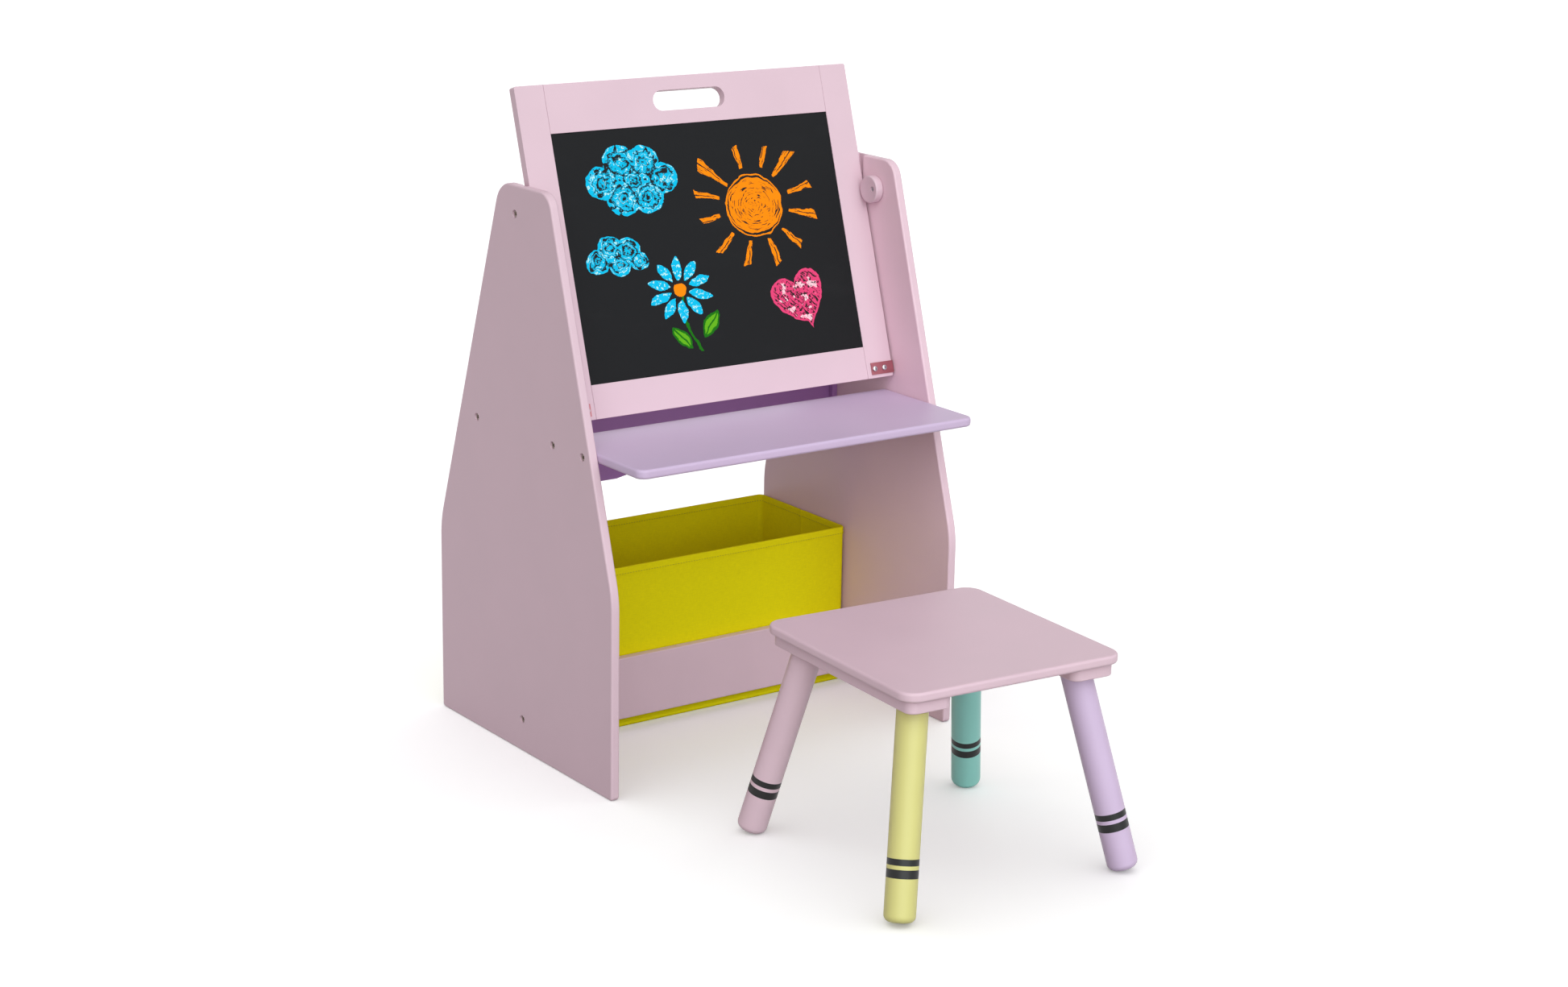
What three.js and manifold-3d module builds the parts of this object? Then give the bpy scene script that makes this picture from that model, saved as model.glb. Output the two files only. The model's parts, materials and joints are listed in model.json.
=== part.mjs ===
// Kids easel: two side panels carry a leaning double-sided board, a front tray and a fabric bin,
// and a small stool stands in front. Millimetres, +Z up, x to the right, y from front to back.
import * as THREE from 'three';
import { mergeVertices, toCreasedNormals } from 'three/addons/utils/BufferGeometryUtils.js';
import Module from 'manifold-3d';

const wasm = await Module();
wasm.setup();

// Colours and finishes
const finishes = {
  pink: { color: 0xdcc0cc, roughness: 0.45, metalness: 0 },
  lilac: { color: 0xc9b0d6, roughness: 0.45, metalness: 0 },
  yellow: { color: 0xe6e08e, roughness: 0.45, metalness: 0 },
  teal: { color: 0x77b8ab, roughness: 0.45, metalness: 0 },
  fabric: { color: 0xd9c813, roughness: 0.9, metalness: 0 },
  chalkboard: { color: 0x1c1c1e, roughness: 0.75, metalness: 0 },
  whiteboard: { color: 0xf4f4f4, roughness: 0.15, metalness: 0 },
  steel: { color: 0xb9babc, roughness: 0.3, metalness: 1 },
  brass: { color: 0xc08a66, roughness: 0.3, metalness: 1 },
};

// Working values shared by all pieces
const seatGap = 0.3;
const overrun = 1;
const boardThickness = 12;
const edgeRound = 4;
const fineRound = 0.6;
const arcSteps = 6;
const roundSteps = 2;
const fineSteps = 1;
const rodSides = 16;
const creaseAngle = THREE.MathUtils.degToRad(35);
const weldDistance = 1e-5;

// Side panels
const easelWidth = 540;
const panelDepth = 425;
const panelHeight = 740;
const panelKinkHeight = 262;
const panelTopFront = 146;
const panelTopBack = 264;
const panelKinkRadius = 130;
const panelFrontTopRadius = 26;
const panelBackTopRadius = 36;
const panelFootRadius = 5;

// Leaning board, placed by the lower edge of its front face
const boardFootY = 126;
const boardFootZ = 455.3;
const boardLean = THREE.MathUtils.degToRad(17.4);
const boardLength = 421;
const boardSideGap = 3;
const stileWidth = 42;
const boardTopRailWidth = 62;
const boardBottomRailWidth = 43;
const boardCornerRadius = 3;
const handleLength = 110;
const handleHeight = 26;
const sheetRecess = 1.6;
const sheetEdge = 6;

// Pins on the board's sides and the slots they drop into
const pinRadius = 2;
const pinBelowTop = 35.5;
const pinSeatDepth = 12;
const slotDepth = 5;
const slotClearance = 0.3;

// Brass brackets at the board's lower corners and the studs they hook over
const bracketThickness = 1.2;
const bracketWidth = 35.4;
const bracketHeight = 16;
const bracketRise = 4.4;
const bracketScrewRise = 7.8;
const bracketScrewInset = 14.4;
const bracketScrewPitch = 15.6;
const studRadius = 2.5;
const studRise = 9;
const studSeatDepth = 7;

// Eccentric discs that hold the board back
const camRadius = 18.5;
const camThickness = 12;
const camEccentricity = 9;
const camBelowTop = 40;
const camBoardGap = 2.35;
const camRestTurn = THREE.MathUtils.degToRad(8.4);
const camRound = 2.5;

// Batten that the board leans on, and the rail low behind it
const topRailThickness = 18;
const topRailWidth = 40;
const topRailBelowTop = 36.5;
const rearRailInset = 45.4;
const rearRailZ = 424;
const rearRailWidth = 60;

// Tray, apron and kick bar
const trayTop = 433;
const trayFront = -43;
const trayBack = 148;
const trayCornerRadius = 13;
const trayBackRadius = 6;
const trayRearBoltInset = 10;
const trayFrontBoltInset = 18;
const apronRailGap = 45;
const apronBottom = 331;
const apronTop = 440;
const apronArchWidth = 192;
const apronArchRise = 10;
const cleatWidth = 8;
const kickBarFront = 209;
const kickBarBottom = 16;
const kickBarWidth = 85;
const kickBoltRise = 27.7;

// Fabric bin behind the kick bar
const binHeight = 222;
const binWall = 3;
const binGap = 0.4;
const binSideGap = 2;
const binCornerRadius = 7;

// Bolts and screws
const boltHeadRadius = 5;
const boltHeadHeight = 2.6;
const boltHeadRecess = 2.2;
const boltShankRadius = 2.75;
const boltLength = 45;
const socketRadius = 2.6;
const socketDepth = 1.8;
const socketTurnShare = 1 / 8;
const screwHeadRadius = 3.6;
const screwHeadHeight = 2;
const screwShankRadius = 1.5;
const screwLength = 9;
const camScrewHeadRadius = 3.1;
const camScrewHeadHeight = 1.8;
const camScrewRecess = 3;
const camScrewRadius = 2;
const camScrewSeatDepth = 8;
const headRound = 0.8;

// Stool
const stoolX = -30;
const stoolY = -341.5;
const stoolTurn = THREE.MathUtils.degToRad(-3.7);
const seatSize = 305;
const seatTop = 268;
const seatCornerRadius = 22;
const battenWidth = 60;
const battenThickness = 15;
const battenSideInset = 8;
const battenEndInset = 7;
const battenCornerRadius = 12;
const legRadius = 18.5;
const legEndInset = 37;
const legSplayAcross = 46;
const legSplayAlong = 52;
const footRound = 8;
const footSteps = 4;
const legSides = 28;
const legColours = { back_left: 'pink', front_left: 'yellow', back_right: 'teal', front_right: 'lilac' };

// Places worked out from the sizes above
const X = new THREE.Vector3(1, 0, 0);
const Y = new THREE.Vector3(0, 1, 0);
const Z = new THREE.Vector3(0, 0, 1);
const sideInner = easelWidth / 2 - boardThickness;
const boardHalf = sideInner - boardSideGap;
const crossHalf = sideInner - seatGap;
const uphill = new THREE.Vector2(Math.sin(boardLean), Math.cos(boardLean));
const behind = new THREE.Vector2(Math.cos(boardLean), -Math.sin(boardLean));

// Distance along the board at which a line parallel to its face reaches a height
function alongBoard(height, depth) {
  return (height - boardFootZ - behind.y * depth) / uphill.y;
}

// Place in the easel's y and z of a point given along the board and behind its face
function fromBoard(along, depth) {
  const foot = new THREE.Vector2(boardFootY, boardFootZ);
  return foot.addScaledVector(uphill, along).addScaledVector(behind, depth);
}

// Front and back edge of the side panels at a height above the kink
function panelFrontAt(height) {
  return panelTopFront * (height - panelKinkHeight) / (panelHeight - panelKinkHeight);
}

function panelBackAt(height) {
  const share = (height - panelKinkHeight) / (panelHeight - panelKinkHeight);
  return panelDepth + (panelTopBack - panelDepth) * share;
}

const pinDepth = boardThickness / 2;
const pinAlong = alongBoard(panelHeight - pinBelowTop, pinDepth);
const pinPlace = fromBoard(pinAlong, pinDepth);
const studAlong = bracketRise + studRise;
const studPlace = fromBoard(studAlong, boardThickness / 2);
const camDepth = -(camRadius + camEccentricity + camBoardGap);
const camAlong = alongBoard(panelHeight - camBelowTop, camDepth);
const camPlace = fromBoard(camAlong, camDepth);
const topRailDepth = boardThickness + seatGap + topRailThickness / 2;
const topRailAlong = alongBoard(panelHeight - topRailBelowTop, topRailDepth);
const topRailPlace = fromBoard(topRailAlong, topRailDepth);
const trayMiddle = trayTop - boardThickness / 2;
const rearRailY = panelBackAt(rearRailZ) - rearRailInset;
const apronFront = rearRailY - boardThickness / 2 - apronRailGap - boardThickness;
const boltPlaces = {
  top_rail: topRailPlace,
  rear_rail: new THREE.Vector2(rearRailY, rearRailZ),
  tray_rear: new THREE.Vector2(trayBack - trayRearBoltInset, trayMiddle),
  tray_front: new THREE.Vector2(panelFrontAt(trayMiddle) + trayFrontBoltInset, trayMiddle),
  kick_bar: new THREE.Vector2(kickBarFront + boardThickness / 2, kickBarBottom + kickBoltRise),
};

// Closed solid from a geometry, with shared corners merged and empty triangles left out
function toSolid(geometry) {
  const bare = geometry.clone();
  bare.deleteAttribute('normal');
  bare.deleteAttribute('uv');
  const merged = mergeVertices(bare, weldDistance);
  const corners = Array.from(merged.index.array);
  const kept = [];
  for (let i = 0; i < corners.length; i += 3) {
    const [a, b, c] = corners.slice(i, i + 3);
    if (a !== b && b !== c && c !== a) {
      kept.push(a, b, c);
    }
  }
  const vertProperties = new Float32Array(merged.attributes.position.array);
  const triVerts = new Uint32Array(kept);
  return new wasm.Manifold(new wasm.Mesh({ numProp: 3, vertProperties, triVerts }));
}

// Geometry of a solid, smooth over its round stretches and sharp at its edges
function toGeometry(solid) {
  const mesh = solid.getMesh();
  const geometry = new THREE.BufferGeometry();
  geometry.setAttribute('position', new THREE.BufferAttribute(new Float32Array(mesh.vertProperties), 3));
  geometry.setIndex(new THREE.BufferAttribute(new Uint32Array(mesh.triVerts), 1));
  return toCreasedNormals(geometry, creaseAngle);
}

// Outline through corners given as [across, up, radius], run anticlockwise
function outline(corners) {
  const shape = new THREE.Shape();
  corners.forEach(([across, up, radius], i) => {
    const corner = new THREE.Vector2(across, up);
    const before = corners.at(i - 1);
    const after = corners[(i + 1) % corners.length];
    const back = new THREE.Vector2(before[0], before[1]).sub(corner).normalize();
    const ahead = new THREE.Vector2(after[0], after[1]).sub(corner).normalize();
    const draw = i === 0 ? 'moveTo' : 'lineTo';
    if (radius === 0) {
      shape[draw](corner.x, corner.y);
      return;
    }
    const half = Math.acos(back.dot(ahead)) / 2;
    const run = radius / Math.tan(half);
    const start = corner.clone().addScaledVector(back, run);
    const end = corner.clone().addScaledVector(ahead, run);
    const centre = back.clone().add(ahead).setLength(radius / Math.sin(half)).add(corner);
    const hollow = back.cross(ahead) > 0;
    shape[draw](start.x, start.y);
    const from = start.sub(centre).angle();
    const to = end.sub(centre).angle();
    shape.absarc(centre.x, centre.y, radius, from, to, hollow);
  });
  shape.closePath();
  return shape;
}

// Rectangle about the origin with one radius at all corners
function rectangle(width, height, radius) {
  const w = width / 2;
  const h = height / 2;
  return outline([[-w, -h, radius], [w, -h, radius], [w, h, radius], [-w, h, radius]]);
}

// Plate of an outline, from 0 to its thickness, with rounded edges
function plate(shape, thickness, round) {
  const geometry = new THREE.ExtrudeGeometry(shape, {
    depth: thickness - 2 * round,
    bevelEnabled: round > 0,
    bevelThickness: round,
    bevelSize: round,
    bevelOffset: -round,
    bevelSegments: round > fineRound ? roundSteps : fineSteps,
    curveSegments: arcSteps,
  });
  return geometry.translate(0, 0, round);
}

// Stands a plate up across the easel: its outline in x and z, its front face at y = 0
function standing(geometry, thickness) {
  const upright = new THREE.Matrix4().makeBasis(X, Z, Y.clone().negate());
  return geometry.applyMatrix4(upright).translate(0, thickness, 0);
}

// Turns a plate into a side panel: its outline in y and z, its thickness along x
function sideways(geometry) {
  return geometry.applyMatrix4(new THREE.Matrix4().makeBasis(Y, Z, X));
}

// The same geometry on the other side of x = 0
function mirrored(geometry) {
  const flipped = geometry.index ? geometry.toNonIndexed() : geometry.clone();
  flipped.scale(-1, 1, 1);
  const places = flipped.attributes.position;
  const a = new THREE.Vector3();
  const b = new THREE.Vector3();
  for (let i = 0; i < places.count; i += 3) {
    a.fromBufferAttribute(places, i + 1);
    b.fromBufferAttribute(places, i + 2);
    places.setXYZ(i + 1, b.x, b.y, b.z);
    places.setXYZ(i + 2, a.x, a.y, a.z);
  }
  return flipped;
}

// Rod along x between two ends, centred on a place in y and z
function rodAcross(radius, from, to, place) {
  const length = Math.abs(to - from);
  const rod = new THREE.CylinderGeometry(radius, radius, length, rodSides);
  return rod.rotateZ(Math.PI / 2).translate((from + to) / 2, place.x, place.y);
}

// Round piece turned from a profile of [radius, height], its axis along +Z
function turned(profile) {
  const points = profile.map(([radius, height]) => new THREE.Vector2(radius, height));
  return new THREE.LatheGeometry(points, rodSides).rotateX(Math.PI / 2);
}

// Adds a named piece with its own material to a group
function piece(group, name, finish, geometry) {
  const material = new THREE.MeshStandardMaterial(finishes[finish]);
  const mesh = new THREE.Mesh(toGeometry(toSolid(geometry)), material);
  mesh.name = name;
  group.add(mesh);
  return mesh;
}

// Cuts tools, given in the easel's frame, out of a piece wherever it stands
function cut(mesh, tools) {
  mesh.updateWorldMatrix(true, false);
  const toLocal = mesh.matrixWorld.clone().invert();
  let solid = toSolid(mesh.geometry);
  for (const tool of tools) {
    solid = solid.subtract(toSolid(tool.clone().applyMatrix4(toLocal)));
  }
  mesh.geometry = toGeometry(solid);
}

const sides = [['left', -1], ['right', 1]];
const easelSet = new THREE.Group();
const easel = new THREE.Group();
const boardFrame = new THREE.Group();
boardFrame.position.set(0, boardFootY, boardFootZ);
boardFrame.rotation.x = -boardLean;
easel.add(boardFrame);
easelSet.add(easel);

// Side panels, cut out of one outline
function panelOutline() {
  return outline([
    [0, 0, panelFootRadius],
    [panelDepth, 0, panelFootRadius],
    [panelDepth, panelKinkHeight, panelKinkRadius],
    [panelTopBack, panelHeight, panelBackTopRadius],
    [panelTopFront, panelHeight, panelFrontTopRadius],
    [0, panelKinkHeight, panelKinkRadius],
  ]);
}

// Slot for the board's pin: upright in front, following the board behind, open at the top
function slotTool() {
  const radius = pinRadius + slotClearance;
  const top = panelHeight + overrun;
  const rear = pinPlace.clone().addScaledVector(behind, radius);
  const rearTop = rear.clone().addScaledVector(uphill, (top - rear.y) / uphill.y);
  const shape = new THREE.Shape();
  shape.absarc(pinPlace.x, pinPlace.y, radius, -Math.PI, -boardLean, false);
  shape.lineTo(rearTop.x, rearTop.y);
  shape.lineTo(pinPlace.x - radius, top);
  shape.closePath();
  return sideways(plate(shape, slotDepth + overrun, 0)).translate(sideInner - overrun, 0, 0);
}

// Bolt heads stand in round recesses of the panels' outer faces
const outer = easelWidth / 2;
const headSeat = outer - boltHeadRecess - boltHeadHeight;

function boltHoles(place) {
  const shank = boltShankRadius + seatGap;
  const head = boltHeadRadius + seatGap;
  return [
    rodAcross(shank, headSeat - boltLength - seatGap, outer, place),
    rodAcross(head, headSeat - seatGap, outer + overrun, place),
  ];
}

function panelTools() {
  const camHole = rodAcross(
    camScrewRadius + seatGap, sideInner - overrun, sideInner + camScrewSeatDepth + seatGap, camPlace);
  const studHole = rodAcross(
    studRadius + seatGap, sideInner - overrun, sideInner + studSeatDepth + seatGap, studPlace);
  const bolts = Object.values(boltPlaces).flatMap(boltHoles);
  return [slotTool(), camHole, studHole, ...bolts];
}

const rightTools = panelTools();
const toolsBySide = { left: rightTools.map(mirrored), right: rightTools };

for (const [side, sign] of sides) {
  const board = sideways(plate(panelOutline(), boardThickness, edgeRound));
  const panel = piece(easel, `side_panel_${side}`, 'pink', board);
  panel.position.x = sign > 0 ? sideInner : -outer;
  cut(panel, toolsBySide[side]);
}

// Cross members between the panels
const topRail = piece(
  boardFrame, 'top_rail', 'pink',
  standing(plate(rectangle(2 * crossHalf, topRailWidth, 0), topRailThickness, fineRound), topRailThickness));
topRail.position.set(0, topRailDepth - topRailThickness / 2, topRailAlong);

const rearRail = piece(
  easel, 'rear_rail', 'pink',
  standing(plate(rectangle(2 * crossHalf, rearRailWidth, 0), boardThickness, fineRound), boardThickness));
rearRail.position.set(0, rearRailY - boardThickness / 2, rearRailZ);

const trayDepth = trayBack - trayFront;
const tray = piece(easel, 'tray', 'lilac', plate(outline([
  [-crossHalf, 0, trayCornerRadius],
  [crossHalf, 0, trayCornerRadius],
  [crossHalf, trayDepth, trayBackRadius],
  [-crossHalf, trayDepth, trayBackRadius],
]), boardThickness, edgeRound));
tray.position.set(0, trayFront, trayTop - boardThickness);

// Apron, with a shallow arch in its lower edge
function apronOutline() {
  const half = apronArchWidth / 2;
  const height = apronTop - apronBottom;
  const radius = (half * half + apronArchRise * apronArchRise) / (2 * apronArchRise);
  const spread = Math.asin(half / radius);
  const shape = new THREE.Shape();
  shape.moveTo(-crossHalf, 0);
  shape.lineTo(-half, 0);
  shape.absarc(0, apronArchRise - radius, radius, Math.PI / 2 + spread, Math.PI / 2 - spread, true);
  shape.lineTo(crossHalf, 0);
  shape.lineTo(crossHalf, height);
  shape.lineTo(-crossHalf, height);
  shape.closePath();
  return shape;
}

const apron = piece(
  easel, 'apron', 'lilac', standing(plate(apronOutline(), boardThickness, fineRound), boardThickness));
apron.position.set(0, apronFront, apronBottom);

for (const [side, sign] of sides) {
  const height = apronTop - apronBottom;
  const cleat = piece(
    easel, `apron_cleat_${side}`, 'lilac',
    plate(rectangle(cleatWidth, cleatWidth, 0), height, fineRound));
  cleat.position.set(sign * (crossHalf - cleatWidth / 2), apronFront - seatGap - cleatWidth / 2, apronBottom);
}

const kickBar = piece(
  easel, 'kick_bar', 'pink',
  standing(plate(rectangle(2 * crossHalf, kickBarWidth, 0), boardThickness, fineRound), boardThickness));
kickBar.position.set(0, kickBarFront, kickBarBottom + kickBarWidth / 2);

const members = {
  top_rail: topRail,
  rear_rail: rearRail,
  tray_rear: tray,
  tray_front: tray,
  kick_bar: kickBar,
};
for (const [name, member] of Object.entries(members)) {
  const [shankHole] = boltHoles(boltPlaces[name]);
  cut(member, [shankHole, mirrored(shankHole)]);
}

// Bolts with a hexagon socket, their heads recessed in the panels
function boltGeometry() {
  const bolt = turned([
    [0, -boltLength],
    [boltShankRadius, -boltLength],
    [boltShankRadius, 0],
    [boltHeadRadius, 0],
    [boltHeadRadius, boltHeadHeight - headRound],
    [boltHeadRadius - headRound, boltHeadHeight],
    [0, boltHeadHeight],
  ]);
  const hexagon = new THREE.Shape();
  for (let i = 0; i < 6; i += 1) {
    const turn = (Math.PI / 3) * (i + socketTurnShare);
    const corner = new THREE.Vector2(Math.cos(turn), Math.sin(turn)).multiplyScalar(socketRadius);
    hexagon[i === 0 ? 'moveTo' : 'lineTo'](corner.x, corner.y);
  }
  hexagon.closePath();
  const socket = plate(hexagon, socketDepth + overrun, 0).translate(0, 0, boltHeadHeight - socketDepth);
  return toGeometry(toSolid(bolt).subtract(toSolid(socket)));
}

for (const [side, sign] of sides) {
  for (const [name, place] of Object.entries(boltPlaces)) {
    const bolt = piece(easel, `bolt_${name}_${side}`, 'steel', boltGeometry());
    bolt.position.set(sign * headSeat, place.x, place.y);
    bolt.rotation.y = sign * Math.PI / 2;
  }
}

for (const [side, sign] of sides) {
  const from = boardHalf + seatGap;
  const to = sideInner + studSeatDepth;
  const rod = rodAcross(studRadius, from, to, new THREE.Vector2());
  const stud = piece(easel, `hook_stud_${side}`, 'steel', rod);
  stud.position.set(sign > 0 ? 0 : -(from + to), studPlace.x, studPlace.y);
}

// Board frame: stiles over the full length, rails between them, grooved for the two sheets
const openingWidth = 2 * (boardHalf - stileWidth);
const openingHeight = boardLength - boardTopRailWidth - boardBottomRailWidth;
const sheetThickness = (boardThickness - 2 * sheetRecess - seatGap) / 2;
const sheetMiddle = boardBottomRailWidth + openingHeight / 2;

function sheetGroove() {
  const depth = boardThickness - 2 * sheetRecess + 2 * seatGap;
  const width = openingWidth + 2 * (sheetEdge + seatGap);
  const height = openingHeight + 2 * (sheetEdge + seatGap);
  const groove = new THREE.BoxGeometry(width, depth, height);
  groove.translate(0, boardThickness / 2, sheetMiddle);
  return groove.applyMatrix4(boardFrame.matrixWorld);
}

boardFrame.updateWorldMatrix(true, false);
const pinHole = rodAcross(
  pinRadius + seatGap, boardHalf - pinSeatDepth - seatGap, boardHalf + overrun, pinPlace);

for (const [side, sign] of sides) {
  const [inner, edge] = [-sign * stileWidth / 2, sign * stileWidth / 2];
  const corners = [
    [inner, 0, 0],
    [edge, 0, boardCornerRadius],
    [edge, boardLength, boardCornerRadius],
    [inner, boardLength, 0],
  ];
  const shape = outline(sign > 0 ? corners : corners.reverse());
  const stile = piece(
    boardFrame, `board_stile_${side}`, 'pink',
    standing(plate(shape, boardThickness, fineRound), boardThickness));
  stile.position.x = sign * (boardHalf - stileWidth / 2);
  cut(stile, [sheetGroove(), sign > 0 ? pinHole : mirrored(pinHole)]);
}

const railWidth = openingWidth - 2 * seatGap;
const topRailShape = rectangle(railWidth, boardTopRailWidth, 0);
topRailShape.holes.push(rectangle(handleLength, handleHeight, handleHeight / 2));
const railTop = piece(
  boardFrame, 'board_rail_top', 'pink',
  standing(plate(topRailShape, boardThickness, fineRound), boardThickness));
railTop.position.z = boardLength - boardTopRailWidth / 2;

const railBottom = piece(
  boardFrame, 'board_rail_bottom', 'pink',
  standing(plate(rectangle(railWidth, boardBottomRailWidth, 0), boardThickness, fineRound), boardThickness));
railBottom.position.z = boardBottomRailWidth / 2;
cut(railTop, [sheetGroove()]);
cut(railBottom, [sheetGroove()]);

const sheetShape = rectangle(openingWidth + 2 * sheetEdge, openingHeight + 2 * sheetEdge, 0);
const sheets = [
  ['chalkboard_panel', 'chalkboard', sheetRecess],
  ['whiteboard_panel', 'whiteboard', boardThickness - sheetRecess - sheetThickness],
];
for (const [name, finish, depth] of sheets) {
  const board = standing(plate(sheetShape, sheetThickness, 0), sheetThickness);
  const sheet = piece(boardFrame, name, finish, board);
  sheet.position.set(0, depth, sheetMiddle);
}

for (const [side, sign] of sides) {
  const from = boardHalf - pinSeatDepth;
  const to = sideInner + slotDepth - seatGap;
  const rod = rodAcross(pinRadius, from, to, new THREE.Vector2());
  const pin = piece(boardFrame, `board_pin_${side}`, 'steel', rod);
  pin.position.set(sign > 0 ? 0 : -(from + to), pinDepth, pinAlong);
}

// Angle brackets, with a hook in the side leaf that drops over the stud
const plateFront = -(seatGap + bracketThickness);
const leafOuter = boardHalf + seatGap + bracketThickness;
const bracketScrewXs = [boardHalf - bracketScrewInset, boardHalf - bracketScrewInset - bracketScrewPitch];
const screwAlong = bracketRise + bracketScrewRise;

function bracketGeometry() {
  const angle = outline([
    [leafOuter, plateFront, bracketThickness],
    [leafOuter, boardThickness, 0],
    [leafOuter - bracketThickness, boardThickness, 0],
    [leafOuter - bracketThickness, -seatGap, 0],
    [boardHalf - bracketWidth, -seatGap, 0],
    [boardHalf - bracketWidth, plateFront, 0],
  ]);
  let solid = toSolid(plate(angle, bracketHeight, 0).translate(0, 0, bracketRise));
  const notchRadius = studRadius + seatGap;
  const notch = outline([
    [boardThickness / 2 - notchRadius, bracketRise - overrun, 0],
    [boardThickness / 2 + notchRadius, bracketRise - overrun, 0],
    [boardThickness / 2 + notchRadius, studAlong + notchRadius, notchRadius],
    [boardThickness / 2 - notchRadius, studAlong + notchRadius, notchRadius],
  ]);
  const notchWidth = bracketThickness + 2 * overrun;
  const notchTool = sideways(plate(notch, notchWidth, 0));
  notchTool.translate(leafOuter - bracketThickness - overrun, 0, 0);
  solid = solid.subtract(toSolid(notchTool));
  for (const x of bracketScrewXs) {
    const reach = bracketThickness + 2 * overrun;
    const hole = new THREE.CylinderGeometry(
      screwShankRadius + seatGap, screwShankRadius + seatGap, reach, rodSides);
    solid = solid.subtract(toSolid(hole.translate(x, plateFront + bracketThickness / 2, screwAlong)));
  }
  return toGeometry(solid);
}

function screwGeometry(headRadius, headHeight, shankRadius, shankLength) {
  return turned([
    [0, -shankLength],
    [shankRadius, -shankLength],
    [shankRadius, 0],
    [headRadius, 0],
    [headRadius, headHeight - headRound],
    [headRadius - headRound, headHeight],
    [0, headHeight],
  ]);
}

const bracket = bracketGeometry();
for (const [side, sign] of sides) {
  piece(boardFrame, `bracket_${side}`, 'brass', sign > 0 ? bracket : mirrored(bracket));
  bracketScrewXs.forEach((x, i) => {
    const place = ['outer', 'inner'][i];
    const geometry = screwGeometry(screwHeadRadius, screwHeadHeight, screwShankRadius, screwLength);
    const screw = piece(boardFrame, `bracket_screw_${place}_${side}`, 'steel', geometry);
    screw.rotation.x = Math.PI / 2;
    screw.position.set(sign * x, plateFront - seatGap, screwAlong);
    const stile = boardFrame.children.find((child) => child.name === `board_stile_${side}`);
    const hole = new THREE.CylinderGeometry(
      screwShankRadius + seatGap, screwShankRadius + seatGap, screwLength + overrun, rodSides);
    hole.translate(sign * x, (screwLength - overrun) / 2, screwAlong).applyMatrix4(boardFrame.matrixWorld);
    for (const member of [railBottom, stile]) {
      cut(member, [hole]);
    }
  });
}

// Cam discs, each turned about its own screw
for (const [side, sign] of sides) {
  const cam = new THREE.Group();
  cam.position.set(sign * crossHalf, camDepth, camAlong);
  cam.rotation.x = camRestTurn;
  boardFrame.add(cam);
  const round = new THREE.Shape().absarc(camEccentricity, 0, camRadius, 0, 2 * Math.PI);
  const disc = plate(round, camThickness, camRound);
  const shankHole = camScrewRadius + seatGap;
  const headHole = camScrewHeadRadius + seatGap;
  const recessFloor = camThickness - camScrewRecess;
  const tools = [
    turned([[0, -overrun], [shankHole, -overrun], [shankHole, camThickness], [0, camThickness]]),
    turned([
      [0, recessFloor],
      [headHole, recessFloor],
      [headHole, camThickness + overrun],
      [0, camThickness + overrun],
    ]),
  ];
  const discSolid = tools.reduce((solid, tool) => solid.subtract(toSolid(tool)), toSolid(disc));
  const facing = sideways(toGeometry(discSolid));
  piece(cam, `cam_disc_${side}`, 'pink', sign > 0 ? mirrored(facing) : facing);
  const headSeatInDisc = recessFloor + seatGap;
  const shankLength = headSeatInDisc + seatGap + camScrewSeatDepth;
  const screw = screwGeometry(camScrewHeadRadius, camScrewHeadHeight, camScrewRadius, shankLength);
  const placed = sideways(screw.translate(0, 0, headSeatInDisc));
  piece(cam, `cam_screw_${side}`, 'steel', sign > 0 ? mirrored(placed) : placed);
}

// Fabric bin, open at the top
const binHalf = sideInner - binSideGap;
const binFront = kickBarFront + boardThickness + binGap;
const binDepth = panelDepth - binFront;
const binShell = toSolid(plate(rectangle(2 * binHalf, binDepth, binCornerRadius), binHeight, 0));
const binHollow = plate(
  rectangle(2 * (binHalf - binWall), binDepth - 2 * binWall, binCornerRadius - binWall), binHeight, 0);
const bin = piece(
  easel, 'bin', 'fabric', toGeometry(binShell.subtract(toSolid(binHollow.translate(0, 0, binWall)))));
bin.position.set(0, binFront + binDepth / 2, 0);

// Stool: square seat on two battens and four splayed legs
const stool = new THREE.Group();
stool.position.set(stoolX, stoolY, 0);
stool.rotation.z = stoolTurn;
easelSet.add(stool);

const seatShape = rectangle(seatSize, seatSize, seatCornerRadius);
const seat = piece(stool, 'stool_seat', 'pink', plate(seatShape, boardThickness, edgeRound));
seat.position.z = seatTop - boardThickness;

const battenBottom = seatTop - boardThickness - seatGap - battenThickness;
const battenX = seatSize / 2 - battenSideInset - battenWidth / 2;
const battenLength = seatSize - 2 * battenEndInset;
for (const [side, sign] of sides) {
  const batten = piece(
    stool, `stool_batten_${side}`, 'pink',
    plate(rectangle(battenWidth, battenLength, battenCornerRadius), battenThickness, fineRound));
  batten.position.set(sign * battenX, 0, battenBottom);
}

// Straight round leg from its rounded foot up, its axis along +Y before it is placed
function legGeometry(length) {
  const profile = [new THREE.Vector2(0, 0)];
  for (let i = 0; i <= footSteps; i += 1) {
    const turn = (Math.PI / 2) * i / footSteps;
    profile.push(new THREE.Vector2(
      legRadius - footRound + footRound * Math.sin(turn), footRound - footRound * Math.cos(turn)));
  }
  profile.push(new THREE.Vector2(legRadius, length), new THREE.Vector2(0, length));
  return new THREE.LatheGeometry(profile, legSides);
}

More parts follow.
